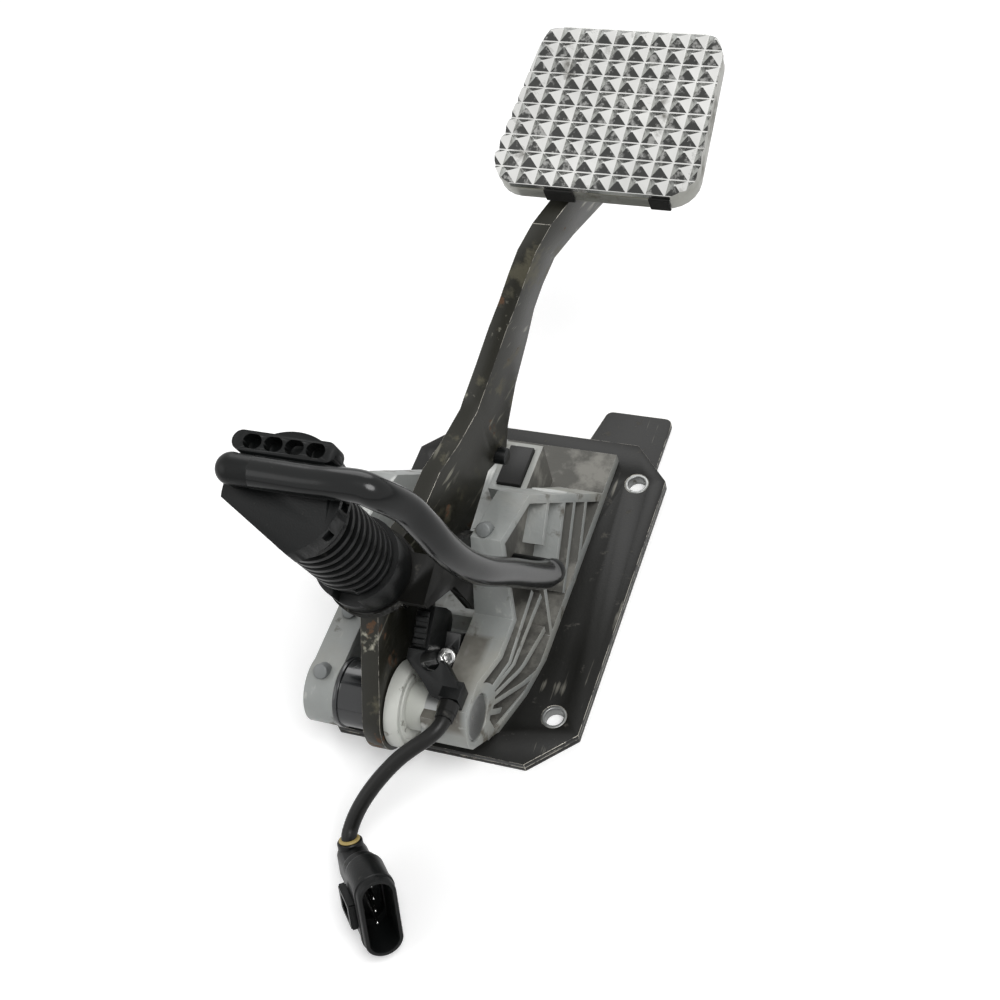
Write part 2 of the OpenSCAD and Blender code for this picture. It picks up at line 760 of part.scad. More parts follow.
function on_cylinder_at(x, y, z) = [
  rod_pin_at.x + x, rod_pin_at.y + y * cos(lean) - z * sin(lean),
  rod_pin_at.z + y * sin(lean) + z * cos(lean)
];
hose_path = [
  on_cylinder_at(elbow_x1, hose_y, hose_z), on_cylinder_at(elbow_x1 + 8, hose_y, hose_z),
  on_cylinder_at(14, hose_y, hose_z), on_cylinder_at(25, hose_y + 0.5, hose_z),
  on_cylinder_at(34, hose_y + 1, hose_z - 1.2), [27.5, -94.6, 197.6], [33.5, -89.6, 184],
  [38, -88, 170.5], [41, -86, 156], [43, -80, 138], [44.5, -70, 118.5], [44.5, -52.1, 92.1],
  [44.5, -38, 70.5], [44.5, -27, 54.6], [44.5, -22.3, 49.7]
];
module feed_hose() {
  color(black_rubber) on_plates() swept(spline(hose_path, 3), hose_d, 16, [0, -0.9, -0.45]);
}

union_at = [-18, 45];
module hose_union() {
  color(black_plastic) on_plates() {
    bar_x(11, web_x + 0.05, 44.5, union_at);
    translate([44.5, union_at.x, union_at.y]) sphere(d = 12, $fn = 32);
  }
}

// Piston and push rod
rod_ball_z = 62;
rod_ball_d = 11;
play = 0.9;
piston_z0 = rod_ball_z - 8;
piston_z1 = rod_ball_z + 14;
module piston() {
  color(nylon) on_plates() on_cylinder() difference() {
    rotate_extrude($fn = fine) polygon([
      [0, piston_z0], [bore_d / 2 - 0.15, piston_z0], [bore_d / 2 - 0.15, piston_z1 - 7],
      [bore_d / 2 - 2, piston_z1 - 7], [bore_d / 2 - 2, piston_z1 - 3],
      [bore_d / 2 - 0.15, piston_z1 - 3], [bore_d / 2 - 0.15, piston_z1], [0, piston_z1]
    ]);
    translate([0, 0, piston_z0 - cut]) cylinder(d = rod_ball_d + 2 * play, h = rod_ball_z - piston_z0 + cut, $fn = fine);
    translate([0, 0, rod_ball_z]) sphere(d = rod_ball_d + 2 * play, $fn = 48);
  }
}

module piston_seals() {
  color(black_rubber) on_plates() on_cylinder() translate([0, 0, piston_z1 - 6.95]) difference() {
    cylinder(d = bore_d - 0.1, h = 3.9, $fn = fine);
    translate([0, 0, -cut]) cylinder(d = bore_d - 3.9, h = 6, $fn = fine);
  }
}

fork_gap = 0.4;
fork_wall = 3;
fork_w = 9;
fork_bridge = 26;
module push_rod() {
  half = arm_t / 2 + fork_gap;
  color(bright_steel) on_plates() on_cylinder() difference() {
    union() {
      for (s = [-1, 1]) translate([s * (half + fork_wall / 2) - fork_wall / 2, 0, 0]) {
        rotate([0, 90, 0]) cylinder(d = pin_d + 6, h = fork_wall, $fn = fine);
        translate([0, -fork_w / 2, 0]) cube([fork_wall, fork_w, fork_bridge + 4]);
      }
      translate([-half - fork_wall, -fork_w / 2, fork_bridge]) cube([2 * (half + fork_wall), fork_w, 4]);
      cylinder_between(fork_bridge + cut, rod_ball_z, rod_d);
      translate([0, 0, rod_ball_z]) sphere(d = rod_ball_d, $fn = 48);
    }
    translate([-30, 0, 0]) rotate([0, 90, 0]) cylinder(d = pin_d + 0.1, h = 60, $fn = fine);
  }
}

module cylinder_between(z0, z1, d) {
  translate([0, 0, z0]) cylinder(d = d, h = z1 - z0, $fn = fine);
}

module rod_pin() {
  half = arm_t / 2 + fork_gap + fork_wall + side_gap;
  color(steel) on_plates() on_cylinder() {
    translate([-half, 0, 0]) rotate([0, 90, 0]) cylinder(d = pin_d, h = 2 * half, $fn = fine);
    translate([-half - 2, 0, 0]) rotate([0, 90, 0]) cylinder(d = pin_d + 4, h = 2, $fn = fine);
  }
}

// Pedal arm: a flat plate round the shaft, then a bar that bends towards the pad
arm_sections = [
  [-8, -58, 98.3, -38, 37.5], [2, -34.6, 106, -15, 51.5], [6, -21.4, 114, -2, 64],
  [9, -5, 114, 11, 75], [12, 13, 116, 26, 71], [13, 17, 119, 33, 83], [17, 27.5, 129, 43, 101],
  [23, 38, 144, 54, 121], [28, 44.5, 155, 58, 137], [33, 49.5, 167, 62, 149],
  [38, 53.5, 178, 69, 159], [44, 61, 187, 80, 163], [50, 74, 191, 104, 160]
];
pad_at = [61.6, 104.8, 216.2];
pad_floor = pad_h + 3;
carrier_t = 3;
carrier_z = -pad_floor - carrier_t;
function pad_point(v, w) = [
  pad_at.y + v * cos(pad_tilt) - w * sin(pad_tilt), pad_at.z + v * sin(pad_tilt) + w * cos(pad_tilt)
];
arm_end_x = 65;
arm_end = concat([arm_end_x], pad_point(-18, carrier_z - 0.05), pad_point(20, carrier_z - 0.05));
all_sections = concat(arm_sections, [arm_end]);

module arm_bar() {
  n = len(all_sections);
  points = [
    for (s = all_sections)
      for (p = [[s[0], s[1], s[2]], [s[0] - arm_t, s[1], s[2]], [s[0] - arm_t, s[3], s[4]], [s[0], s[3], s[4]]]) p
  ];
  walls = [
    for (i = [0 : n - 2], k = [0 : 3])
      let (a = 4 * i + k, b = 4 * i + (k + 1) % 4)
        for (f = [[a, b, b + 4], [a, b + 4, a + 4]]) f
  ];
  m = 4 * (n - 1);
  polyhedron(points, concat(walls, [[3, 2, 1, 0], [m, m + 1, m + 2, m + 3]]), convexity = 8);
}

module pedal_arm() {
  color(arm_paint) on_plates() difference() {
    union() {
      across(arm_x0, arm_x1) {
        translate(pivot) circle(eye_r, $fn = fine);
        polygon([[-79.3, 11.4], [-38, 37.5], [-35, 42], [-55, 99], [-58, 98.3], [-77, 92], [-109, 42.6]]);
      }
      arm_bar();
    }
    bar_x(shaft_d + 2 * bush_wall + 2 * seat_clear, arm_x0 - cut, arm_x1 + cut, pivot);
    bar_x(pin_d + 2 * seat_clear, arm_x0 - cut, arm_x1 + cut + 5, [rod_pin_at.y, rod_pin_at.z]);
    bar_x(8.06, 5, 20, [20, 76]);
  }
}

module arm_peg() {
  color(black_plastic) on_plates() bar_x(8, 6, 15.5, [20, 76]);
}

// Pad
module on_pad() {
  translate(pad_at) rotate([pad_tilt, 0, 0]) children();
}

function pad_corners(d) = [
  [-pad_w / 2 + d, -pad_l / 2 + d], [pad_w / 2 - d, -pad_l / 2 + d],
  [pad_top_w / 2 - d, pad_l / 2 - d], [-pad_top_w / 2 + d, pad_l / 2 - d]
];
// The outline's corners as arcs of radius r
function tangent_points(p, r, n) = [
  for (i = [0 : n - 1])
    let (
      q = p[i], u = unit(q - p[(i + n - 1) % n]), v = unit(p[(i + 1) % n] - q),
      turn = acos(u * v), h = r * tan(turn / 2)
    )
      for (k = [0 : 6])
        let (c = q - h * u + r * left_of(u), a = atan2(-left_of(u).y, -left_of(u).x) + turn * k / 6)
          c + r * [cos(a), sin(a)]
];
module pad_outline(d) {
  polygon(tangent_points(pad_corners(d), pad_r - d, 4));
}

carrier_w = 50;
carrier_l = 52;
rivet_spots = [for (x = [-20.5, 20.5], y = [-13, 20]) [x, y]];
rivet_d = 5;
module pad_carrier() {
  color(plate_steel) on_plates() on_pad() difference() {
    translate([-carrier_w / 2, -carrier_l / 2, carrier_z]) cube([carrier_w, carrier_l, carrier_t]);
    for (p = rivet_spots) translate([p.x, p.y, carrier_z - cut])
      cylinder(d = rivet_d + 0.06, h = carrier_t + 2 * cut, $fn = 32);
  }
}

frame_wall = 2.5;
frame_floor = 2;
plate_lip = 2.5;
module pad_frame() {
  color(olive) on_plates() on_pad() difference() {
    translate([0, 0, -pad_floor + 0.02]) linear_extrude(pad_h - plate_lip) pad_outline(0.4);
    translate([0, 0, -pad_floor + frame_floor]) linear_extrude(pad_h) pad_outline(frame_wall);
    for (p = rivet_spots) translate([p.x, p.y, -pad_floor - cut])
      cylinder(d = rivet_d + 0.06, h = frame_floor + 2 * cut, $fn = 32);
  }
}

module pad_plate() {
  rows = floor((pad_l - 4) / pyramid_pitch);
  base = -pad_floor + pad_h;
  color(chrome) on_plates() on_pad() {
    translate([0, 0, -pad_floor + frame_floor + 0.1])
      linear_extrude(pad_h - frame_floor - 0.15) pad_outline(frame_wall + 0.05);
    translate([0, 0, base - plate_lip + 0.05]) linear_extrude(plate_lip) pad_outline(0);
    for (j = [0 : rows - 1]) {
      y = (j - (rows - 1) / 2) * pyramid_pitch;
      w = pad_w + (pad_top_w - pad_w) * (y / pad_l + 0.5) - 3;
      n = floor(w / pyramid_pitch) - ((j == 0 || j == rows - 1) ? 2 : 0);
      for (i = [0 : n - 1]) translate([(i - (n - 1) / 2) * pyramid_pitch, y, base + 0.04]) rotate(45)
        cylinder(r1 = pyramid_pitch * 0.69, r2 = 0.5, h = pyramid_h, $fn = 4);
    }
  }
}

module pad_rivets() {
  color(bright_steel) on_plates() on_pad() for (p = rivet_spots) translate([p.x, p.y, 0]) {
    translate([0, 0, carrier_z - 2.05]) cylinder(d = rivet_d + 4, h = 2, $fn = 32);
    translate([0, 0, carrier_z - 0.5]) cylinder(d = rivet_d, h = carrier_t + frame_floor + 0.5, $fn = 32);
  }
}

lower_plate();
upper_plate();
mount_sleeves();
bracket_casting();
foot_screws();
locating_pins();
blank_label();
bump_stop();
pivot_shaft();
shaft_rings();
spacer_bush();
sensor_housing();
sensor_cover();
sensor_screw();
cable_gland();
sensor_cable();
connector_housing();
connector_pins();
connector_seal();
connector_latch();
cylinder_bracket();
bracket_screws();
cylinder_barrel();
cylinder_head();
cylinder_screws();
head_port();
feed_hose();
hose_union();
piston();
piston_seals();
push_rod();
rod_pin();
pedal_arm();
arm_bush();
encoder_disc();
arm_peg();
pad_carrier();
pad_frame();
pad_plate();
pad_rivets();
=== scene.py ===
"""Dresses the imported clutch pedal: camera, light, rounded edges, worn finishes and small detail."""

import json
import math

import bmesh
import bpy
from bpy.props import FloatProperty, FloatVectorProperty, IntProperty, PointerProperty
from mathutils import Matrix, Vector
from mathutils.bvhtree import BVHTree

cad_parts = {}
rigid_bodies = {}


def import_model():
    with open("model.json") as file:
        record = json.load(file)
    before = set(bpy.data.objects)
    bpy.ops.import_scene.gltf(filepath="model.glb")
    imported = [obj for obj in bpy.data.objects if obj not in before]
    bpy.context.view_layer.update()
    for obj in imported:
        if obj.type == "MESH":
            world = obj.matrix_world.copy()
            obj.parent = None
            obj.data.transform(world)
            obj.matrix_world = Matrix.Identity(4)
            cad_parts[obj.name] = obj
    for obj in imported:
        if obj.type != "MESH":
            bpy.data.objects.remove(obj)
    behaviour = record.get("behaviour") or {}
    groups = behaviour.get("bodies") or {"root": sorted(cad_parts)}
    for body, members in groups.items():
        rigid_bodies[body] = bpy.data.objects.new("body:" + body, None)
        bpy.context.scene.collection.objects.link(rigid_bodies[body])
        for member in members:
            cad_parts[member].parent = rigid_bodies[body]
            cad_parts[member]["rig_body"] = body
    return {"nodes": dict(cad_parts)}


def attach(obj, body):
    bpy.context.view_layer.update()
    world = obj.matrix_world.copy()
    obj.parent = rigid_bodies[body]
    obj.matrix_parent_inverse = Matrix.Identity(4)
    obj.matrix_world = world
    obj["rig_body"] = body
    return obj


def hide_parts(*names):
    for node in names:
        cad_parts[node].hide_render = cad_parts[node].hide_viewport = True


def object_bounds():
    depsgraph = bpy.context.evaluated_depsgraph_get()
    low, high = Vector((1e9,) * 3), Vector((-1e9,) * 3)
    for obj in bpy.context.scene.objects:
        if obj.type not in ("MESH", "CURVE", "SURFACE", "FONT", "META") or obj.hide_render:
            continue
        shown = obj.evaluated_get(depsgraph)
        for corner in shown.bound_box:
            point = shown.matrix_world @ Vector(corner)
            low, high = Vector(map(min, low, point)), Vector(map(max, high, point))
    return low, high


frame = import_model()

bl_info = {
    "name": "Clutch pedal dressing",
    "version": (1, 0, 0),
    "blender": (4, 5, 0),
    "location": "View3D > Sidebar > Pedal",
    "description": "Finishes and small detail of a clutch pedal on its packed solids",
    "category": "Object",
}

CAD_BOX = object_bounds()

# The middle of the plates' top face, from which the source lays out the pedal
PLATES = Vector((0.0, -0.0015, 0.006))

# The corners of a square about its middle, in turn
SQUARE = ((-1, -1), (1, -1), (1, 1), (-1, 1))


def place(x, y, z):
    """A point laid out in millimetres from the middle of the plates' top face."""
    return PLATES + Vector((x, y, z)) / 1000


# ---------------------------------------------------------------- node tools


def new_tree(name, kind, inputs, outputs):
    """A node group with the given named sockets and its two end nodes."""
    tree = bpy.data.node_groups.new(name, kind)
    for label, socket, default in inputs:
        made = tree.interface.new_socket(label, in_out="INPUT", socket_type=socket)
        if default is not None:
            made.default_value = default
    for label, socket in outputs:
        tree.interface.new_socket(label, in_out="OUTPUT", socket_type=socket)
    return tree, tree.nodes.new("NodeGroupInput"), tree.nodes.new("NodeGroupOutput")


def fill(tree, node, values):
    """Links the inputs of a node to sockets, or fills them with plain values."""
    for key, value in values.items():
        if isinstance(value, bpy.types.NodeSocket):
            tree.links.new(value, node.inputs[key])
        else:
            node.inputs[key].default_value = value


def add(tree, kind, values=None, **options):
    """A node with its options set and its inputs filled or linked."""
    node = tree.nodes.new(kind)
    for key, value in options.items():
        setattr(node, key, value)
    fill(tree, node, values or {})
    return node


# ------------------------------------------------------------- shared effects


def patches_group():
    """Soft or sharp-edged patches of dirt, wear or rust: a mask from 0 to 1."""
    name = "Worn patches"
    if name in bpy.data.node_groups:
        return bpy.data.node_groups[name]
    tree, start, end = new_tree(
        name, "ShaderNodeTree",
        [("Vector", "NodeSocketVector", None), ("Scale", "NodeSocketFloat", 40.0),
         ("Detail", "NodeSocketFloat", 6.0), ("From", "NodeSocketFloat", 0.5),
         ("To", "NodeSocketFloat", 0.6)],
        [("Mask", "NodeSocketFloat")],
    )
    noise = add(tree, "ShaderNodeTexNoise", {
        "Vector": start.outputs["Vector"], "Scale": start.outputs["Scale"],
        "Detail": start.outputs["Detail"], "Roughness": 0.62})
    ramp = add(tree, "ShaderNodeMapRange", {
        "Value": noise.outputs["Fac"], "From Min": start.outputs["From"],
        "From Max": start.outputs["To"]}, clamp=True)
    tree.links.new(ramp.outputs["Result"], end.inputs["Mask"])
    return tree


def scratches_group():
    """Fine lines drawn along one direction: a mask from 0 to 1."""
    name = "Fine scratches"
    if name in bpy.data.node_groups:
        return bpy.data.node_groups[name]
    tree, start, end = new_tree(
        name, "ShaderNodeTree",
        [("Vector", "NodeSocketVector", None), ("Scale", "NodeSocketFloat", 300.0),
         ("Turn", "NodeSocketVector", (0.3, 0.4, 0.6)), ("Amount", "NodeSocketFloat", 0.3)],
        [("Mask", "NodeSocketFloat")],
    )
    turned = add(tree, "ShaderNodeMapping", {
        "Vector": start.outputs["Vector"], "Rotation": start.outputs["Turn"],
        "Scale": (1.0, 0.04, 1.0)})
    lines = add(tree, "ShaderNodeTexNoise", {
        "Vector": turned.outputs["Vector"], "Scale": start.outputs["Scale"], "Detail": 2.0})
    where = add(tree, "ShaderNodeTexNoise", {
        "Vector": start.outputs["Vector"], "Scale": 45.0, "Detail": 2.0})
    both = add(tree, "ShaderNodeMath", {0: lines.outputs["Fac"], 1: where.outputs["Fac"]},
               operation="MULTIPLY")
    top = add(tree, "ShaderNodeMath", {0: 0.52, 1: start.outputs["Amount"]},
              operation="SUBTRACT")
    ramp = add(tree, "ShaderNodeMapRange", {
        "Value": both.outputs[0], "From Min": top.outputs[0], "From Max": 0.52}, clamp=True)
    tree.links.new(ramp.outputs["Result"], end.inputs["Mask"])
    return tree


def grain_group():
    """The fine surface of a casting, a paint or a moulding: a bumped normal."""
    name = "Surface grain"
    if name in bpy.data.node_groups:
        return bpy.data.node_groups[name]
    tree, start, end = new_tree(
        name, "ShaderNodeTree",
        [("Vector", "NodeSocketVector", None), ("Scale", "NodeSocketFloat", 700.0),
         ("Strength", "NodeSocketFloat", 0.3), ("Depth", "NodeSocketFloat", 0.0002)],
        [("Normal", "NodeSocketVector")],
    )
    noise = add(tree, "ShaderNodeTexNoise", {
        "Vector": start.outputs["Vector"], "Scale": start.outputs["Scale"], "Detail": 3.0})
    bump = add(tree, "ShaderNodeBump", {
        "Height": noise.outputs["Fac"], "Strength": start.outputs["Strength"],
        "Distance": start.outputs["Depth"]})
    tree.links.new(bump.outputs["Normal"], end.inputs["Normal"])
    return tree


def zone_group():
    """A box on the object with soft borders: a mask from 0 to 1."""
    name = "Soft zone"
    if name in bpy.data.node_groups:
        return bpy.data.node_groups[name]
    tree, start, end = new_tree(
        name, "ShaderNodeTree",
        [("Vector", "NodeSocketVector", None), ("Middle", "NodeSocketVector", (0, 0, 0)),
         ("Half size", "NodeSocketVector", (0.01, 0.01, 0.01)), ("Soft", "NodeSocketFloat", 0.004)],
        [("Mask", "NodeSocketFloat")],
    )
    from_middle = add(tree, "ShaderNodeVectorMath", {0: start.outputs["Vector"],
                                                     1: start.outputs["Middle"]},
                      operation="SUBTRACT")
    size = add(tree, "ShaderNodeVectorMath", {0: from_middle.outputs[0]}, operation="ABSOLUTE")
    past = add(tree, "ShaderNodeVectorMath", {0: size.outputs[0], 1: start.outputs["Half size"]},
               operation="SUBTRACT")
    parts = add(tree, "ShaderNodeSeparateXYZ", {0: past.outputs[0]})
    most = add(tree, "ShaderNodeMath", {0: parts.outputs[0], 1: parts.outputs[1]},
               operation="MAXIMUM")
    most = add(tree, "ShaderNodeMath", {0: most.outputs[0], 1: parts.outputs[2]},
               operation="MAXIMUM")
    ratio = add(tree, "ShaderNodeMath", {0: most.outputs[0], 1: start.outputs["Soft"]},
                operation="DIVIDE")
    mask = add(tree, "ShaderNodeMapRange", {"Value": ratio.outputs[0], "From Min": 0.0,
                                            "From Max": -1.0}, clamp=True)
    tree.links.new(mask.outputs["Result"], end.inputs["Mask"])
    return tree


def use_group(tree, group, values):
    """Places a shared effect in a material."""
    return add(tree, "ShaderNodeGroup", values, node_tree=group)


def mixed(tree, mask, below, above):
    """Colour or value above where the mask is 1 and below where it is 0."""
    kind, first, second, result = (("FLOAT", 2, 3, 0) if isinstance(above, float)
                                   else ("RGBA", 6, 7, 2))
    node = add(tree, "ShaderNodeMix", {0: mask, first: below, second: above}, data_type=kind)
    return node.outputs[result]


def rgba(colour):
    """A colour with full cover."""
    return (*tuple(colour)[:3], 1.0)


def finish(name, colour, roughness, layers=(), metallic=0.0, grain=(900.0, 0.25, 0.0002),
           coat=0.0, specular=0.5):
    """A procedural finish: a slightly uneven ground colour and layers on top of it, of wear and dirt
    and in one place of painted shadow.

    A layer is (effect, its values, colour, roughness, metallic); the grain is the scale,
    strength and depth of the surface's bumps."""
    if name in bpy.data.materials:
        return bpy.data.materials[name]
    material = bpy.data.materials.new(name)
    material.use_nodes = True
    material.diffuse_color = rgba(colour)
    tree = material.node_tree
    shader = tree.nodes["Principled BSDF"]
    where = add(tree, "ShaderNodeTexCoord").outputs["Object"]
    groups = {"patches": patches_group, "scratches": scratches_group, "zone": zone_group}
    rough, metal = float(roughness), float(metallic)
    tint = use_group(tree, patches_group(), {
        "Vector": where, "Scale": 22.0, "Detail": 4.0, "From": 0.35, "To": 0.7}).outputs["Mask"]
    darker = rgba([c * 0.86 for c in colour])
    paler = rgba([min(1, c * 1.08) for c in colour])
    base = mixed(tree, tint, darker, paler)
    for effect, values, layer_colour, layer_rough, layer_metal in layers:
        mask = use_group(tree, groups[effect](), dict(values, Vector=where)).outputs["Mask"]
        base = mixed(tree, mask, base, rgba(layer_colour))
        rough = mixed(tree, mask, rough, float(layer_rough))
        metal = mixed(tree, mask, metal, float(layer_metal))
    scale, strength, depth = grain
    bumped = use_group(tree, grain_group(), {
        "Vector": where, "Scale": scale, "Strength": strength, "Depth": depth})
    fill(tree, shader, {
        "Base Color": base, "Roughness": rough, "Metallic": metal, "Coat Weight": coat,
        "Coat Roughness": 0.12, "Specular IOR Level": specular,
        "Normal": bumped.outputs["Normal"]})
    return material


def dust(amount=0.58, colour=(0.2, 0.18, 0.15)):
    """A layer of small dull spots; a higher amount leaves fewer of them."""
    return ("patches", {"Scale": 130.0, "Detail": 8.0, "From": amount, "To": amount + 0.08},
            colour, 0.8, 0.0)


def bare_scratches(amount=0.2, scale=420.0, turn=(0.3, 0.4, 0.6), colour=(0.35, 0.35, 0.33)):
    """A layer of fine lines that show pale metal."""
    return ("scratches", {"Scale": scale, "Turn": turn, "Amount": amount}, colour, 0.35, 0.7)


def plate_paint():
    return finish("Worn black plate paint", (0.009, 0.009, 0.008), 0.36,
                  [dust(0.62, (0.06, 0.057, 0.05)), bare_scratches(0.14, colour=(0.3, 0.29, 0.25))],
                  specular=0.22)


def worn_edge():
    return finish("Worn bright edge", (0.42, 0.4, 0.35), 0.4,
                  [("patches", {"Scale": 160.0, "Detail": 6.0, "From": 0.49, "To": 0.56},
                    (0.03, 0.028, 0.026), 0.5, 0.0)], metallic=0.6)


def cast_paint():
    """Pale grey paint, with a dark brown patch on the front block by the pivot: brown dirt, darkened
    by painted shadow from the sensor.
    """
    return finish("Grey casting paint", (0.285, 0.298, 0.288), 0.4,
                  # Dark brown zone by the pivot: dirt, with painted shadow from the sensor over it
                  [("zone", {"Middle": place(15, -86, 48), "Half size": (0.0145, 0.029, 0.014),
                             "Soft": 0.003}, (0.085, 0.078, 0.066), 0.5, 0.0),
                   ("patches", {"Scale": 16.0, "Detail": 5.0, "From": 0.5, "To": 0.72},
                    (0.3, 0.295, 0.26), 0.5, 0.0),
                   ("patches", {"Scale": 60.0, "Detail": 9.0, "From": 0.58, "To": 0.66},
                    (0.10, 0.092, 0.075), 0.7, 0.0),
                   bare_scratches(0.16, 260.0, (0.2, 0.9, 0.1), (0.5, 0.5, 0.48))],
                  grain=(500.0, 0.35, 0.0004))


# Painted shade for the faces deep in the casting's pockets, not dirt; its paler spots are random
def cast_pocket_shade():
    return finish("Painted shade in the casting's pockets", (0.085, 0.083, 0.074), 0.6,
                  [("patches", {"Scale": 45.0, "Detail": 8.0, "From": 0.5, "To": 0.62},
                    (0.19, 0.185, 0.165), 0.5, 0.0)], grain=(500.0, 0.4, 0.0004), specular=0.3)


# A painted highlight along the casting's rounded edges, not rubbed paint; its darker spots are random
def cast_edge_highlight():
    return finish("Painted highlight on the casting's edges", (0.62, 0.63, 0.61), 0.32,
                  [("patches", {"Scale": 120.0, "Detail": 6.0, "From": 0.5, "To": 0.58},
                    (0.27, 0.27, 0.255), 0.45, 0.0)], metallic=0.3)


def arm_paint():
    return finish("Scratched arm paint", (0.017, 0.0165, 0.012), 0.36,
                  [("patches", {"Scale": 38.0, "Detail": 9.0, "From": 0.56, "To": 0.62},
                    (0.075, 0.07, 0.048), 0.5, 0.2),
                   ("patches", {"Scale": 75.0, "Detail": 10.0, "From": 0.63, "To": 0.67},
                    (0.09, 0.05, 0.028), 0.8, 0.0),
                   bare_scratches(0.17, 380.0, (1.2, 0.2, 0.3), (0.34, 0.33, 0.27))],
                  specular=0.28)


def steel():
    return finish("Dull steel", (0.3, 0.305, 0.3), 0.35, [dust(0.6, (0.1, 0.095, 0.08))],
                  metallic=0.85)


def shaft_steel():
    """Steel, with a white band by the disc, where the photograph shows no bare steel."""
    return finish("Dull steel shaft with its white sleeve", (0.3, 0.305, 0.3), 0.35,
                  [dust(0.6, (0.1, 0.095, 0.08)),
                   ("zone", {"Middle": place(3.6, -91, 30), "Half size": (0.0046, 0.03, 0.03),
                             "Soft": 0.0003}, (0.5, 0.51, 0.47), 0.38, 0.0)], metallic=0.85)


def bright_steel():
    return finish("Bright steel", (0.68, 0.68, 0.67), 0.22, [bare_scratches(0.2, 500.0)],
                  metallic=1.0)


def pin_grey():
    return finish("Matt grey pin", (0.19, 0.2, 0.198), 0.5, [dust(0.62)], metallic=0.3)


def black_plastic():
    return finish("Satin black plastic", (0.004, 0.0045, 0.0045), 0.36,
                  [dust(0.66, (0.045, 0.044, 0.04))], grain=(1300.0, 0.3, 0.0002), specular=0.2)


def gloss_plastic():
    return finish("Glossy black plastic", (0.012, 0.013, 0.014), 0.16,
                  [dust(0.68, (0.06, 0.06, 0.058))], grain=(300.0, 0.05, 0.0002), coat=0.4)


def hose_black():
    return finish("Glossy black hose", (0.003, 0.0035, 0.0035), 0.2,
                  [dust(0.7, (0.03, 0.03, 0.027))], grain=(220.0, 0.12, 0.0003), coat=0.15,
                  specular=0.25)


def black_rubber():
    return finish("Black rubber", (0.006, 0.006, 0.0055), 0.38,
                  [dust(0.66, (0.05, 0.048, 0.043))], grain=(900.0, 0.2, 0.0002), specular=0.25)


def nylon():
    return finish("Scuffed white nylon", (0.56, 0.57, 0.53), 0.38,
                  [("patches", {"Scale": 110.0, "Detail": 8.0, "From": 0.56, "To": 0.62},
                    (0.2, 0.195, 0.17), 0.6, 0.0)])


def olive_metal():
    return finish("Dull olive metal", (0.13, 0.127, 0.088), 0.4,
                  [("patches", {"Scale": 60.0, "Detail": 8.0, "From": 0.56, "To": 0.66},
                    (0.05, 0.05, 0.038), 0.5, 0.0), bare_scratches(0.2)], metallic=0.5)


# Each pyramid has a bright right side, a dark front side and two half-dark sides between them;
# the dark and half-dark sides are painted reflection, not tarnish, and give the pyramids that
# contrast


def chrome():
    return finish("Polished pyramids", (0.78, 0.78, 0.76), 0.12,
                  [("patches", {"Scale": 55.0, "Detail": 8.0, "From": 0.6, "To": 0.72},
                    (0.16, 0.155, 0.14), 0.45, 0.4)], metallic=1.0, grain=(600.0, 0.08, 0.0002))


# Painted dark reflection for the pyramids' front sides, not tarnish
def painted_dark_reflection():
    return finish("Pyramid sides with painted dark reflection", (0.055, 0.056, 0.054), 0.24,
                  [("patches", {"Scale": 240.0, "Detail": 6.0, "From": 0.52, "To": 0.62},
                    (0.3, 0.3, 0.29), 0.3, 0.9)], metallic=0.85, grain=(600.0, 0.08, 0.0002))


# Painted half-dark reflection for the pyramids' back and left sides, not tarnish
def painted_half_dark_reflection():
    return finish("Pyramid sides with painted half-dark reflection", (0.5, 0.51, 0.49), 0.2,
                  [("patches", {"Scale": 240.0, "Detail": 6.0, "From": 0.52, "To": 0.62},
                    (0.2, 0.2, 0.19), 0.25, 1.0)], metallic=0.95, grain=(600.0, 0.08, 0.0002))


def pad_side():
    return finish("Pale pad side", (0.36, 0.36, 0.33), 0.3,
                  [("patches", {"Scale": 70.0, "Detail": 7.0, "From": 0.52, "To": 0.64},
                    (0.15, 0.145, 0.12), 0.45, 0.6)], metallic=0.8)


def seal_tan():
    return finish("Tan seal", (0.36, 0.27, 0.09), 0.5)


def label_white():
    return finish("Bare white label", (0.62, 0.63, 0.61), 0.5, [dust(0.62, (0.3, 0.29, 0.26))])


# ---------------------------------------------------------------- mesh tools


CAD_WELD = 2e-6                     # points of a CAD mesh nearer than this are one, in metres
ON_PLANE = 1e-7                     # the same for points on a cut or at its ends
FLAT_ANGLE = math.radians(1)        # faces that turn less than this become one
ROUND_ANGLE = math.radians(32)      # sharper edges are rounded
SMOOTH_ANGLE = math.radians(38)     # sharper edges of a rounded piece stay sharp in its shading
SKIN_ANGLE = math.radians(35)       # the same for a skin or a tube
OUTLOOK_TILTS = (0.35, 0.8, 1.2)    # how far the rays of hidden_faces lean, in radians
OUTLOOK_TURNS = 8


def around(count, shift=0.0):
    """Angles that share a full turn equally."""
    return [2 * math.pi * (k + shift) / count for k in range(count)]


def finished_mesh(bm, name):
    """The mesh of a draft, which is freed."""
    mesh = bpy.data.meshes.new(name)
    bm.to_mesh(mesh)
    bm.free()
    return mesh


def cut_off(bm, point, outward):
    """Cuts away what lies past a plane and gives the edges of the cut."""
    cut = bmesh.ops.bisect_plane(bm, geom=[*bm.verts, *bm.edges, *bm.faces], dist=ON_PLANE,
                                 plane_co=point, plane_no=outward, clear_outer=True)
    return [item for item in cut["geom_cut"] if isinstance(item, bmesh.types.BMEdge)]


def mesh_object(name, mesh, body, materials):
    """Links a finished mesh as a piece on a body."""
    piece = bpy.data.objects.new(name, mesh)
    bpy.context.scene.collection.objects.link(piece)
    mesh.materials.clear()
    for material in materials:
        mesh.materials.append(material)
    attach(piece, body)
    return piece


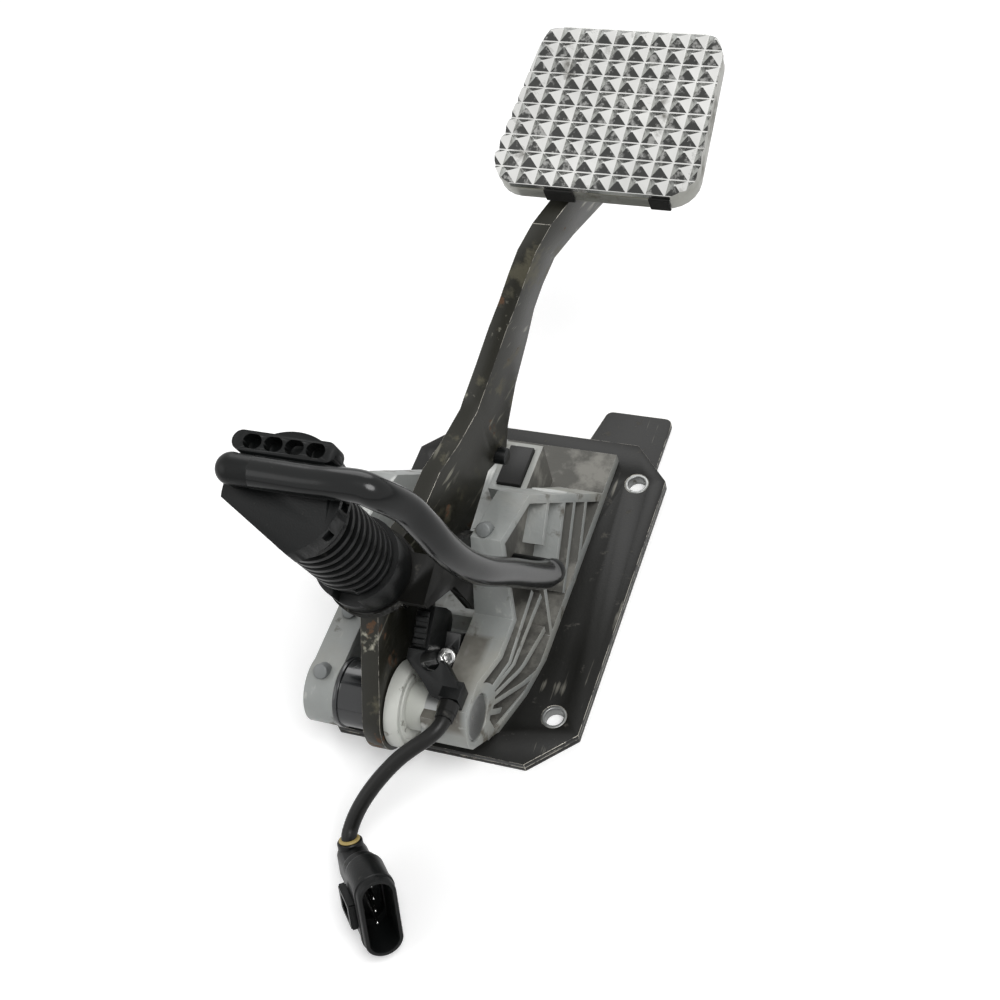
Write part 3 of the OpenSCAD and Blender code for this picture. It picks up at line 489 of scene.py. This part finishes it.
def rounded(node, materials, width):
    """A copy of a CAD node with its sharp edges rounded; the rounding takes the last material."""
    source = frame["nodes"][node]
    bm = bmesh.new()
    bm.from_mesh(source.data)
    bmesh.ops.remove_doubles(bm, verts=bm.verts, dist=CAD_WELD)
    bmesh.ops.dissolve_limit(bm, angle_limit=FLAT_ANGLE, verts=bm.verts, edges=bm.edges)
    for face in bm.faces:
        face.material_index = 0
    mesh = finished_mesh(bm, node + "_finished")
    draft = bpy.data.objects.new(node + "_draft", mesh)
    bpy.context.scene.collection.objects.link(draft)
    for material in materials:
        mesh.materials.append(material)
    bevel = draft.modifiers.new("Rounding", "BEVEL")
    bevel.width = width
    bevel.segments = 2
    bevel.limit_method = "ANGLE"
    bevel.angle_limit = ROUND_ANGLE
    bevel.material = len(materials) - 1
    bevel.use_clamp_overlap = True
    graph = bpy.context.evaluated_depsgraph_get()
    made = bpy.data.meshes.new_from_object(draft.evaluated_get(graph))
    bpy.data.objects.remove(draft)
    bpy.data.meshes.remove(mesh)
    made.shade_smooth()
    made.set_sharp_from_angle(angle=SMOOTH_ANGLE)
    made.name = node + "_finished"
    indices = [polygon.material_index for polygon in made.polygons]
    piece = mesh_object(node + "_finished", made, source["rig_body"], materials)
    made.polygons.foreach_set("material_index", indices)
    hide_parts(node)
    return piece


def hidden_faces(mesh, reach, share):
    """Gives material 1, painted shade, to the faces that see the mesh itself within reach, in metres,
    along more than the share of their rays."""
    tree = BVHTree.FromPolygons([v.co for v in mesh.vertices],
                                [tuple(p.vertices) for p in mesh.polygons])
    rays = [Vector((math.sin(tilt) * math.cos(turn), math.sin(tilt) * math.sin(turn),
                    math.cos(tilt)))
            for tilt in OUTLOOK_TILTS for turn in around(OUTLOOK_TURNS)]
    clear = 0.0001
    for polygon in mesh.polygons:
        turn = polygon.normal.to_track_quat("Z", "Y")
        start = polygon.center + polygon.normal * clear
        closed = sum(tree.ray_cast(start, turn @ ray, reach)[0] is not None for ray in rays)
        if polygon.material_index == 0 and closed > share * len(rays):
            polygon.material_index = 1


def smooth_line(points, steps):
    """A smooth line through the points, with the same count of steps between each two."""
    line = []
    last = len(points) - 1
    for i in range(last):
        a, b, c, d = points[max(i - 1, 0)], points[i], points[i + 1], points[min(i + 2, last)]
        for k in range(steps):
            t = k / steps
            line.append(0.5 * (2 * b + t * (c - a) + t * t * (2 * a - 5 * b + 4 * c - d)
                               + t * t * t * (3 * b - a - 3 * c + d)))
    return line + [points[last]]


def skin(rings):
    """A closed mesh over rings of equal count; the end rings are filled."""
    bm = bmesh.new()
    rows = [[bm.verts.new(point) for point in ring] for ring in rings]
    for row, after in zip(rows, rows[1:]):
        for k in range(len(row)):
            j = (k + 1) % len(row)
            bm.faces.new((row[k], row[j], after[j], after[k]))
    bm.faces.new(list(reversed(rows[0])))
    bm.faces.new(rows[-1])
    bmesh.ops.recalc_face_normals(bm, faces=bm.faces)
    mesh = finished_mesh(bm, "skin")
    mesh.shade_smooth()
    mesh.set_sharp_from_angle(angle=SKIN_ANGLE)
    return mesh


def tube(line, radius, sides):
    """A closed round tube along a line, with flat ends."""
    rings = []
    across = None
    last = len(line) - 1
    for i, point in enumerate(line):
        along = (line[min(i + 1, last)] - line[max(i - 1, 0)]).normalized()
        if across is None:
            across = along.orthogonal()
        across = (across - along * across.dot(along)).normalized()
        beside = along.cross(across)
        rings.append([point + radius * (across * math.cos(a) + beside * math.sin(a))
                      for a in around(sides)])
    return skin(rings)


def paint(node, material):
    """Gives a CAD node its finish."""
    data = frame["nodes"][node].data
    data.materials.clear()
    data.materials.append(material)


# ------------------------------------------------------------------ settings


class PEDAL_PG_settings(bpy.types.PropertyGroup):
    """Sizes and colours that a user may change"""
    edge_round: FloatProperty(
        name="Edge rounding", description="Radius of the rounded edges of plates and castings",
        default=0.0006, unit="LENGTH", subtype="DISTANCE")
    fine_round: FloatProperty(
        name="Fine rounding", description="Radius of the rounded edges of small parts",
        default=0.0003, unit="LENGTH", subtype="DISTANCE")
    cable_diameter: FloatProperty(
        name="Cable diameter", description="Outside diameter of the sensor cable",
        default=0.007, unit="LENGTH", subtype="DISTANCE")
    hose_diameter: FloatProperty(
        name="Hose diameter", description="Outside diameter of the moulded feed hose",
        default=0.013, unit="LENGTH", subtype="DISTANCE")
    pyramid_pitch: FloatProperty(
        name="Pyramid pitch", description="Spacing of the pyramids on the pad",
        default=0.0081, unit="LENGTH", subtype="DISTANCE")
    pyramid_height: FloatProperty(
        name="Pyramid height", description="Height of the pyramids",
        default=0.0024, unit="LENGTH", subtype="DISTANCE")
    pyramid_rows: IntProperty(
        name="Pyramid rows", description="Rows of pyramids from front to back", default=10)
    pyramid_columns: IntProperty(
        name="Pyramid columns", description="Pyramids across the widest row", default=12)
    head_flat: FloatProperty(
        name="Head flat", description="Distance of the head's flat side from its middle",
        default=0.0162, unit="LENGTH", subtype="DISTANCE")
    floor_colour: FloatVectorProperty(
        name="Floor colour", description="Colour of the pale floor", subtype="COLOR",
        size=3, default=(0.9, 0.9, 0.9), min=0.0, max=1.0)
    light_level: FloatProperty(
        name="Light level", description="Strength of the soft lamps", default=1.0, min=0.0)


# ----------------------------------------------------------------- operators


# The camera that was fitted to the photograph: its place in plate millimetres and its directions
CAMERA_LENS = 63.0
CAMERA_AT = (292.2, -428.6, 687.7)
CAMERA_RIGHT = (0.928, 0.318, -0.192)
CAMERA_FORWARD = (-0.343, 0.535, -0.772)

# The soft round lamps: name, place in metres, diameter in metres and power in watts
LAMPS = (("Key", (0.55, -0.35, 1.25), 0.7, 11.0), ("Fill", (-0.9, -0.7, 0.8), 1.0, 3.0),
         ("Rim", (-0.2, 1.0, 0.9), 0.9, 5.0))
LAMPS_LOOK_AT = (0, -10, 60)

# The pale world lights the pedal less than it shows to the camera and in reflections
WORLD_LIGHT = 0.4
WORLD_SEEN = 1.0

FLOOR_REACH = 6.0       # metres from its middle to its edge
FLOOR_GAP = 0.0002      # metres below the solids
FLOOR_GLOW = 0.25       # seen by the camera only, so that the floor is as pale as in the photograph


class PEDAL_OT_stage(bpy.types.Operator):
    """Makes the camera, the lamps, the world and the floor"""
    bl_idname = "pedal.stage"
    bl_label = "Stage"

    def execute(self, context):
        settings = context.scene.pedal
        scene = context.scene
        scene.view_settings.view_transform = "Standard"
        camera_data = bpy.data.cameras.new("Camera")
        camera_data.lens = CAMERA_LENS
        camera_data.sensor_width = 36.0
        camera_data.clip_start = 0.05
        camera_data.clip_end = 20.0
        camera = bpy.data.objects.new("Camera", camera_data)
        scene.collection.objects.link(camera)
        right = Vector(CAMERA_RIGHT).normalized()
        forward = Vector(CAMERA_FORWARD).normalized()
        right = (right - forward * right.dot(forward)).normalized()
        up = right.cross(forward)
        turn = Matrix((right, up, -forward)).transposed().to_4x4()
        camera.matrix_world = Matrix.Translation(place(*CAMERA_AT)) @ turn
        scene.camera = camera

        world = bpy.data.worlds.new("Studio")
        scene.world = world
        world.use_nodes = True
        tree = world.node_tree
        back = tree.nodes["Background"]
        path = add(tree, "ShaderNodeLightPath")
        strength = add(tree, "ShaderNodeMath", {0: path.outputs["Is Camera Ray"],
                                                1: path.outputs["Is Glossy Ray"]},
                       operation="MAXIMUM")
        level = add(tree, "ShaderNodeMix", {0: strength.outputs[0], 2: WORLD_LIGHT,
                                            3: WORLD_SEEN}, data_type="FLOAT")
        back.inputs["Color"].default_value = (1, 1, 1, 1)
        tree.links.new(level.outputs[0], back.inputs["Strength"])

        target = place(*LAMPS_LOOK_AT)
        for name, spot, size, power in LAMPS:
            data = bpy.data.lights.new(name, "AREA")
            data.shape = "DISK"
            data.size = size
            data.energy = power * settings.light_level
            lamp = bpy.data.objects.new(name, data)
            lamp.location = spot
            lamp.rotation_euler = (target - Vector(spot)).to_track_quat("-Z", "Y").to_euler()
            scene.collection.objects.link(lamp)

        mesh = bpy.data.meshes.new("floor")
        mesh.from_pydata([(x * FLOOR_REACH, y * FLOOR_REACH, 0) for x, y in SQUARE],
                         [], [(0, 1, 2, 3)])
        floor = bpy.data.objects.new("floor", mesh)
        scene.collection.objects.link(floor)
        floor.location.z = CAD_BOX[0][2] - FLOOR_GAP
        material = bpy.data.materials.new("Pale floor")
        material.use_nodes = True
        tree = material.node_tree
        shader = tree.nodes["Principled BSDF"]
        shader.inputs["Base Color"].default_value = rgba(settings.floor_colour)
        shader.inputs["Roughness"].default_value = 0.9
        path = add(tree, "ShaderNodeLightPath")
        seen = add(tree, "ShaderNodeMath", {0: path.outputs["Is Camera Ray"], 1: FLOOR_GLOW},
                   operation="MULTIPLY")
        shader.inputs["Emission Color"].default_value = (1, 1, 1, 1)
        tree.links.new(seen.outputs[0], shader.inputs["Emission Strength"])
        mesh.materials.append(material)
        return {"FINISHED"}


# The sensor cable, from its gland to the connector's collar, in plate millimetres, and the
# heights in metres above its end between which it runs straight
CABLE_ROUTE = (
    (23.6, -98.2, 50.7), (23.6, -102, 50.7), (23.5, -106.5, 50.6), (22, -111.2, 50),
    (18.4, -115.6, 48.4), (13.4, -119.6, 46.2), (8, -124.2, 43.3), (3, -129.6, 39.8),
    (-1.6, -135.4, 35.8), (-5.6, -141, 31.2), (-8.8, -146.2, 26.2), (-10.9, -151, 21.4))
CABLE_STRAIGHT = (0.0125, 0.006)

# The connector: where its rear is in plate millimetres, then its sizes in millimetres
PLUG_REAR = (-12.1, -158.3, 6.8)
PLUG_LENGTH = 44.0
PLUG_WIDTH = 42.0
PLUG_DEPTH = 17.0
PLUG_BELL = 20.0        # length of the wide part at its mouth
PLUG_WALL = 2.0

# How it stands, in degrees: its heading on the floor, the rise of its mouth and its roll
PLUG_HEADING, PLUG_RISE, PLUG_ROLL = -44.8, 17.5, -14.0
PLUG_TURN = (Matrix.Rotation(math.radians(PLUG_HEADING), 4, "Z")
             @ Matrix.Rotation(math.radians(90 - PLUG_RISE), 4, "Y")
             @ Matrix.Rotation(math.radians(PLUG_ROLL), 4, "Z"))

# The collar by which the cable enters: its place in millimetres from the rear, its direction
# and its length in metres. A row is how far it stands out past the cable, and where along it
COLLAR_FROM_REAR = 5
COLLAR_UP = Vector((-0.179, 0.497, 0.849))
COLLAR_OUT = 0.0115
COLLAR_ROWS = ((0.0030, 0.0), (0.0030, 0.004), (0.0024, 0.0046), (0.0022, COLLAR_OUT - 0.0005),
               (0.0018, COLLAR_OUT), (0.0003, COLLAR_OUT), (0.0003, 0.001))
SEAL_ROWS = ((0.0003, COLLAR_OUT + 0.0001), (0.0012, COLLAR_OUT + 0.0001),
             (0.0013, COLLAR_OUT + 0.0004), (0.0010, COLLAR_OUT + 0.0010),
             (0.0002, COLLAR_OUT + 0.0012))

# The four contacts: their spacing and the depth of their feet behind the bell in millimetres,
# then the radius of a contact along its length in metres
CONTACT_PITCH = 7
CONTACT_FOOT = 3
CONTACT_ROWS = ((0.0008, 0.0), (0.0008, 0.0125), (0.0006, 0.0133), (0.0003, 0.0136))

# The latch's frame and its window in millimetres: left, right, and far and near from the mouth
LATCH_FRAME = (-5, 9, 24, 8)
LATCH_WINDOW = (-2, 6, 20.5, 11.5)
LATCH_OUT = 3.2
LATCH_SUNK = 0.2
LATCH_ROUND = 0.0005    # metres


def on_plug(x, y, z):
    """A point in millimetres from the connector's rear: width, depth, and length to its mouth."""
    return place(*PLUG_REAR) + PLUG_TURN @ Vector((x, y, z)) / 1000


def oval_ring(width, depth, height, count=36):
    """A flat ring with round ends across the connector."""
    ring = []
    for turn in around(count, 0.5):
        side = (width - depth) / 2 * (1 if math.cos(turn) > 0 else -1)
        ring.append(on_plug(side + depth / 2 * math.cos(turn), depth / 2 * math.sin(turn), height))
    return ring


def round_rings(centre, axis, rows, count=32):
    """Rings about an axis; each row is (radius, place along the axis) in metres."""
    turn = axis.to_track_quat("Z", "Y")
    return [[centre + turn @ Vector((radius * math.cos(a), radius * math.sin(a), height))
             for a in around(count)] for radius, height in rows]


def around_cable(entry, radius, rows):
    """A turned mesh about the collar's axis; its rows stand out past the cable's radius."""
    return skin(round_rings(entry, COLLAR_UP, [(radius + out, height) for out, height in rows]))


def shell_mesh():
    """The connector's shell, from its rear to the mouth and back to the floor inside."""
    mouth, foot = PLUG_LENGTH, PLUG_LENGTH - PLUG_BELL
    wide, deep = PLUG_WIDTH, PLUG_DEPTH
    hollow_wide, hollow_deep = wide - 2 * PLUG_WALL, deep - 2 * PLUG_WALL
    floor = foot + PLUG_WALL
    # Each row is (width, depth, distance from the rear)
    body = [(16, 9, 0.6), (20, 12, 1.1), (21.5, 13.5, 2.4), (22, 14, 4), (22, 14, mouth - 30)]
    shoulder = [(24, 14.6, mouth - 29), (31, 15.6, mouth - 27.6), (32, 16, mouth - 26.6),
                (32, 16, foot - 1), (38, 16.4, foot - 0.2)]
    bell = [(wide - 0.8, deep - 0.4, foot + 0.6), (wide, deep, foot + 1.6),
            (wide, deep, mouth - 6.4)]
    rib = [(wide + 1, deep + 1, mouth - 6), (wide + 1, deep + 1, mouth - 4.2)]
    rim = [(wide, deep, mouth - 3.8), (wide, deep, mouth - 0.5), (wide - 0.7, deep - 0.7, mouth),
           (hollow_wide + 0.5, hollow_deep + 0.5, mouth)]
    hollow = [(hollow_wide, hollow_deep, mouth - 0.5), (hollow_wide, hollow_deep, floor),
              (30, 12, floor - 0.1), (30, 12, foot - 2)]
    return skin([oval_ring(*row) for row in body + shoulder + bell + rib + rim + hollow])


def contacts_mesh():
    """The four contacts inside the bell."""
    made = bmesh.new()
    axis = (on_plug(0, 0, 1) - on_plug(0, 0, 0)).normalized()
    for number in (-1.5, -0.5, 0.5, 1.5):
        foot = on_plug(CONTACT_PITCH * number, 0, PLUG_LENGTH - PLUG_BELL - CONTACT_FOOT)
        contact = skin(round_rings(foot, axis, CONTACT_ROWS, count=16))
        made.from_mesh(contact)
        bpy.data.meshes.remove(contact)
    mesh = finished_mesh(made, "connector_contacts")
    mesh.shade_smooth()
    mesh.set_sharp_from_angle(angle=SKIN_ANGLE)
    return mesh


def latch_mesh():
    """The connector's latch: a frame with a window that stands on the broad side."""
    side = -PLUG_DEPTH / 2
    made = bmesh.new()
    rings = []
    for outline, depth in ((LATCH_FRAME, side + LATCH_SUNK), (LATCH_FRAME, side - LATCH_OUT),
                           (LATCH_WINDOW, side - LATCH_OUT), (LATCH_WINDOW, side + LATCH_SUNK)):
        left, right, far, near = outline
        rings.append([made.verts.new(on_plug(x, depth, PLUG_LENGTH - z))
                      for x, z in ((left, far), (right, far), (right, near), (left, near))])
    for row, after in zip(rings, rings[1:] + rings[:1]):
        for k in range(4):
            j = (k + 1) % 4
            made.faces.new((row[k], row[j], after[j], after[k]))
    bmesh.ops.recalc_face_normals(made, faces=made.faces)
    bmesh.ops.bevel(made, geom=list(made.edges), offset=LATCH_ROUND, segments=2, affect="EDGES")
    return finished_mesh(made, "connector_clip")


class PEDAL_OT_cable(bpy.types.Operator):
    """Makes the sensor cable and the connector at its end"""
    bl_idname = "pedal.cable"
    bl_label = "Cable and connector"

    def execute(self, context):
        settings = context.scene.pedal
        body = frame["nodes"]["sensor_cable"]["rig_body"]
        entry = on_plug(0, 0, COLLAR_FROM_REAR)
        points = [place(*point) for point in CABLE_ROUTE]
        points += [*(entry + COLLAR_UP * height for height in CABLE_STRAIGHT), entry]
        line = smooth_line(points, steps=4)
        radius = settings.cable_diameter / 2
        cable = mesh_object("sensor_cable_run", tube(line, radius, sides=24), body,
                            [black_rubber()])
        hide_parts("sensor_cable")

        shell = mesh_object("connector_shell", shell_mesh(), body, [black_plastic()])
        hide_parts("connector_housing")
        collar = mesh_object("connector_collar", around_cable(entry, radius, COLLAR_ROWS), body,
                             [black_plastic()])
        seal = mesh_object("connector_seal_ring", around_cable(entry, radius, SEAL_ROWS), body,
                           [seal_tan()])
        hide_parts("connector_seal")
        pins = mesh_object("connector_contacts", contacts_mesh(), body, [bright_steel()])
        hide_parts("connector_pins")
        latch = mesh_object("connector_clip", latch_mesh(), body, [black_plastic()])
        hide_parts("connector_latch")
        return {"FINISHED"}


class PEDAL_OT_base(bpy.types.Operator):
    """Finishes the two base plates, their sleeves and screws"""
    bl_idname = "pedal.base"
    bl_label = "Base plates"

    def execute(self, context):
        settings = context.scene.pedal
        for node in ("lower_plate", "upper_plate"):
            rounded(node, [plate_paint(), worn_edge()], settings.edge_round)
        rounded("mount_sleeves", [steel()], settings.fine_round)
        rounded("foot_screws", [steel()], settings.fine_round)
        return {"FINISHED"}


class PEDAL_OT_casting(bpy.types.Operator):
    """Finishes the bracket casting, its pins, label and bump stop"""
    bl_idname = "pedal.casting"
    bl_label = "Bracket casting"

    def execute(self, context):
        settings = context.scene.pedal
        casting = rounded("bracket_casting", [cast_paint(), cast_pocket_shade(), cast_edge_highlight()],
                          settings.edge_round)
        # The faces that the casting hides from most directions take painted shade
        hidden_faces(casting.data, reach=0.012, share=0.4)
        rounded("locating_pins", [pin_grey()], settings.edge_round)
        rounded("bump_stop", [black_rubber()], settings.edge_round)
        paint("blank_label", label_white())
        return {"FINISHED"}


class PEDAL_OT_pivot(bpy.types.Operator):
    """Finishes the shaft, the spacer, the bush and the white disc"""
    bl_idname = "pedal.pivot"
    bl_label = "Pivot"

    def execute(self, context):
        settings = context.scene.pedal
        rounded("pivot_shaft", [shaft_steel()], settings.fine_round)
        rounded("shaft_rings", [bright_steel()], settings.fine_round)
        rounded("spacer_bush", [gloss_plastic()], settings.fine_round)
        rounded("encoder_disc", [nylon()], settings.fine_round)
        paint("arm_bush", nylon())
        return {"FINISHED"}


class PEDAL_OT_sensor(bpy.types.Operator):
    """Finishes the position sensor"""
    bl_idname = "pedal.sensor"
    bl_label = "Position sensor"

    def execute(self, context):
        settings = context.scene.pedal
        for node in ("sensor_housing", "sensor_cover"):
            rounded(node, [black_plastic()], settings.fine_round)
        rounded("sensor_screw", [bright_steel()], settings.fine_round)
        paint("cable_gland", black_rubber())
        return {"FINISHED"}


# The cylinder leans back from the rod's pin, whose place is in plate millimetres
ROD_PIN = (-12.25, -60.0, 74.0)
CYLINDER_LEAN = math.radians(17.8)


def on_cylinder(x, y, z):
    """A point along and beside the cylinder's axis, in plate millimetres to a hundredth."""
    sine, cosine = math.sin(CYLINDER_LEAN), math.cos(CYLINDER_LEAN)
    return (ROD_PIN[0] + x, round(ROD_PIN[1] + y * cosine - z * sine, 2),
            round(ROD_PIN[2] + y * sine + z * cosine, 2))


# The moulded feed hose, from the head's elbow to its union on the casting, in plate millimetres
HOSE_ROUTE = (
    on_cylinder(-10, 4.5, 132.7), on_cylinder(-2, 4.5, 132.7), on_cylinder(14, 4.5, 132.7),
    on_cylinder(25, 5, 132.7), on_cylinder(34, 5.5, 131.5),
    (27.5, -94.6, 197.6), (33.5, -89.6, 184), (38, -88, 170.5), (41, -86, 156), (43, -80, 138),
    (44.5, -70, 118.5), (44.5, -52.1, 92.1), (44.5, -38, 70.5), (44.5, -27, 54.6),
    (44.5, -22.3, 49.7))

# The flat on the head's left front side: the head's middle and the way that the flat faces
HEAD_MIDDLE = (-12.25, -98.5, 193.9)
HEAD_FLAT = Vector((-0.473, -0.839, -0.269))


def flatten_side(mesh, point, outward):
    """Cuts a closed mesh back to a plane and closes it again."""
    bm = bmesh.new()
    bm.from_mesh(mesh)
    bmesh.ops.holes_fill(bm, edges=cut_off(bm, point, outward), sides=0)
    bmesh.ops.recalc_face_normals(bm, faces=bm.faces)
    bm.to_mesh(mesh)
    bm.free()
    mesh.set_sharp_from_angle(angle=SMOOTH_ANGLE)


class PEDAL_OT_cylinder(bpy.types.Operator):
    """Finishes the hydraulic cylinder, its bracket, the hose and the push rod"""
    bl_idname = "pedal.cylinder"
    bl_label = "Cylinder and hose"

    def execute(self, context):
        settings = context.scene.pedal
        rounded("cylinder_bracket", [plate_paint(), worn_edge()], settings.edge_round)
        rounded("bracket_screws", [steel()], settings.fine_round)
        rounded("cylinder_screws", [steel()], settings.fine_round)
        for node in ("cylinder_barrel", "head_port", "hose_union"):
            rounded(node, [black_plastic()], settings.fine_round)
        head = rounded("cylinder_head", [black_plastic()], settings.fine_round)
        flatten_side(head.data, place(*HEAD_MIDDLE) + HEAD_FLAT * settings.head_flat, HEAD_FLAT)
        line = smooth_line([place(*point) for point in HOSE_ROUTE], steps=5)
        hose = mesh_object("feed_hose_run", tube(line, settings.hose_diameter / 2, sides=32),
                           frame["nodes"]["feed_hose"]["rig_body"], [hose_black()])
        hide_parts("feed_hose")
        paint("piston", nylon())
        paint("piston_seals", black_rubber())
        rounded("push_rod", [bright_steel()], settings.fine_round)
        rounded("rod_pin", [steel()], settings.fine_round)
        return {"FINISHED"}


class PEDAL_OT_arm(bpy.types.Operator):
    """Finishes the pedal arm and its peg"""
    bl_idname = "pedal.arm"
    bl_label = "Pedal arm"

    def execute(self, context):
        settings = context.scene.pedal
        rounded("pedal_arm", [arm_paint(), worn_edge()], settings.edge_round)
        rounded("arm_peg", [black_plastic()], settings.fine_round)
        return {"FINISHED"}


# The pad: the middle of its face in plate millimetres, and how far its face is tipped. The other
# heights and distances are millimetres from that middle, square to the face or along it
PAD_AT = (61.6, 104.8, 216.2)
PAD_TURN = Matrix.Rotation(math.radians(13), 3, "X")
PYRAMID_FOOT = -2.96    # where the pyramids stand
PLATE_UNDER = -5.44     # the underside of their plate
PYRAMID_TIP = 0.4       # half the width of a pyramid's blunt tip
PYRAMID_VALLEY = 0.3    # half the width of the flat ground between two pyramids
PAD_FRONT = -41.0       # the pad's front edge

# The materials of the pad plate by number
BRIGHT, HALF_DARK, DARK, CUT_SIDE = range(4)

# Two black clips on the front edge: their left and right ends, then their middle, thickness and
# height
CLIP_ENDS = ((-19.9, -7.0), (25.4, 34.2))
CLIP_MIDDLE = (PAD_FRONT - 0.2, -8.3)
CLIP_THICK = 1.2
CLIP_TALL = 7
CLIP_ROUND = 0.0003     # metres


def on_pad(x, y, z):
    """A point in millimetres from the middle of the pad's face."""
    return place(*PAD_AT) + PAD_TURN @ Vector((x, y, z)) / 1000


def rim_of(node):
    """The outline of a node seen square to the pad, as a convex ring in pad millimetres."""
    back = PAD_TURN.transposed()
    spots = sorted({(round(p.x, 3), round(p.y, 3)) for p in
                    [back @ (vertex.co - place(*PAD_AT)) * 1000 for vertex in node.data.vertices]})
    ring = []
    for row in (spots, spots[::-1]):
        part = []
        for spot in row:
            while len(part) > 1 and ((part[-1][0] - part[-2][0]) * (spot[1] - part[-2][1])
                                     <= (part[-1][1] - part[-2][1]) * (spot[0] - part[-2][0])):
                part.pop()
            part.append(spot)
        ring += part[:-1]
    return ring


def pyramid_field(rim, settings, base, low):
    """A slab covered with pyramids and cut to the rim; their sides take four materials."""
    pitch, high = settings.pyramid_pitch * 1000, settings.pyramid_height * 1000
    columns, rows = settings.pyramid_columns, settings.pyramid_rows
    bm = bmesh.new()
    x0, y0 = -columns * pitch / 2, -rows * pitch / 2
    floor = [[bm.verts.new(on_pad(x0 + i * pitch, y0 + j * pitch, base))
              for i in range(columns + 1)] for j in range(rows + 1)]
    under = [bm.verts.new(on_pad(x0 + i * columns * pitch, y0 + j * rows * pitch, low))
             for i, j in ((0, 0), (1, 0), (1, 1), (0, 1))]
    reach = pitch / 2 - PYRAMID_VALLEY
    for j in range(rows):
        for i in range(columns):
            corners = (floor[j][i], floor[j][i + 1], floor[j + 1][i + 1], floor[j + 1][i])
            x, y = x0 + (i + 0.5) * pitch, y0 + (j + 0.5) * pitch
            top = [bm.verts.new(on_pad(x + a * PYRAMID_TIP, y + b * PYRAMID_TIP, base + high))
                   for a, b in SQUARE]
            bm.faces.new(top).material_index = BRIGHT
            foot = [bm.verts.new(on_pad(x + a * reach, y + b * reach, base)) for a, b in SQUARE]
            # The front, right, back and left side of a pyramid; the front takes painted dark
            # reflection, the back and left painted half-dark reflection
            for k, material in enumerate((DARK, BRIGHT, HALF_DARK, HALF_DARK)):
                n = (k + 1) % 4
                ground = bm.faces.new((corners[k], corners[n], foot[n], foot[k]))
                ground.material_index = BRIGHT
                bm.faces.new((foot[k], foot[n], top[n], top[k])).material_index = material
    sides = (floor[0], [row[-1] for row in floor], floor[-1][::-1],
             [row[0] for row in floor][::-1])
    for k, side in enumerate(sides):
        bm.faces.new([under[k], under[(k + 1) % 4], *side[::-1]])
    bm.faces.new(under[::-1])
    bmesh.ops.recalc_face_normals(bm, faces=bm.faces)
    upward = on_pad(0, 0, 1) - on_pad(0, 0, 0)
    for spot, after in zip(rim, rim[1:] + rim[:1]):
        point = on_pad(*spot, base)
        out = (on_pad(*after, base) - point).cross(upward).normalized()
        if (point - on_pad(0, 0, base)).dot(out) < 0:
            out.negate()
        for face in bmesh.ops.edgeloop_fill(bm, edges=cut_off(bm, point, out))["faces"]:
            face.material_index = CUT_SIDE
    bmesh.ops.remove_doubles(bm, verts=bm.verts, dist=ON_PLANE)
    bmesh.ops.recalc_face_normals(bm, faces=bm.faces)
    return finished_mesh(bm, "pyramid_plate")


def clips_mesh():
    """The two clips on the pad's front edge."""
    clips = bmesh.new()
    for left, right in CLIP_ENDS:
        for vertex in bmesh.ops.create_cube(clips, size=1.0)["verts"]:
            x, y, z = vertex.co
            vertex.co = on_pad((left + right) / 2 + x * (right - left),
                               CLIP_MIDDLE[0] + y * CLIP_THICK, CLIP_MIDDLE[1] + z * CLIP_TALL)
    bmesh.ops.bevel(clips, geom=list(clips.edges), offset=CLIP_ROUND, segments=2, affect="EDGES")
    return finished_mesh(clips, "pad_clips")


class PEDAL_OT_pad(bpy.types.Operator):
    """Finishes the pad and makes its pyramids and its two front clips"""
    bl_idname = "pedal.pad"
    bl_label = "Pad"

    def execute(self, context):
        settings = context.scene.pedal
        rounded("pad_carrier", [plate_paint(), worn_edge()], settings.edge_round)
        rounded("pad_frame", [pad_side(), olive_metal()], settings.edge_round)
        source = frame["nodes"]["pad_plate"]
        mesh = pyramid_field(rim_of(source), settings, PYRAMID_FOOT, PLATE_UNDER)
        indices = [polygon.material_index for polygon in mesh.polygons]
        plate = mesh_object("pyramid_plate", mesh, source["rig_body"],
                            [chrome(), painted_half_dark_reflection(), painted_dark_reflection(), pad_side()])
        mesh.polygons.foreach_set("material_index", indices)
        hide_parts("pad_plate")
        rounded("pad_rivets", [bright_steel()], settings.fine_round)
        mesh_object("pad_clips", clips_mesh(), source["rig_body"], [black_rubber()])
        return {"FINISHED"}


class PEDAL_PT_panel(bpy.types.Panel):
    """Buttons that make the pieces of the pedal, and its settings"""
    bl_label = "Clutch pedal"
    bl_idname = "PEDAL_PT_panel"
    bl_space_type = "VIEW_3D"
    bl_region_type = "UI"
    bl_category = "Pedal"

    def draw(self, context):
        layout = self.layout
        for operator in OPERATORS:
            layout.operator(operator.bl_idname)
        settings = context.scene.pedal
        for name in settings.bl_rna.properties.keys():
            if name not in ("name", "rna_type"):
                layout.prop(settings, name)


OPERATORS = (PEDAL_OT_stage, PEDAL_OT_cable, PEDAL_OT_base, PEDAL_OT_casting, PEDAL_OT_pivot,
             PEDAL_OT_sensor, PEDAL_OT_cylinder, PEDAL_OT_arm, PEDAL_OT_pad)
CLASSES = (PEDAL_PG_settings, *OPERATORS, PEDAL_PT_panel)


def register():
    for cls in CLASSES:
        bpy.utils.register_class(cls)
    bpy.types.Scene.pedal = PointerProperty(type=PEDAL_PG_settings)


def unregister():
    del bpy.types.Scene.pedal
    for cls in reversed(CLASSES):
        bpy.utils.unregister_class(cls)


def main():
    register()
    for operator in OPERATORS:
        group, name = operator.bl_idname.split(".")
        getattr(getattr(bpy.ops, group), name)()


if __name__ == "__main__":
    main()
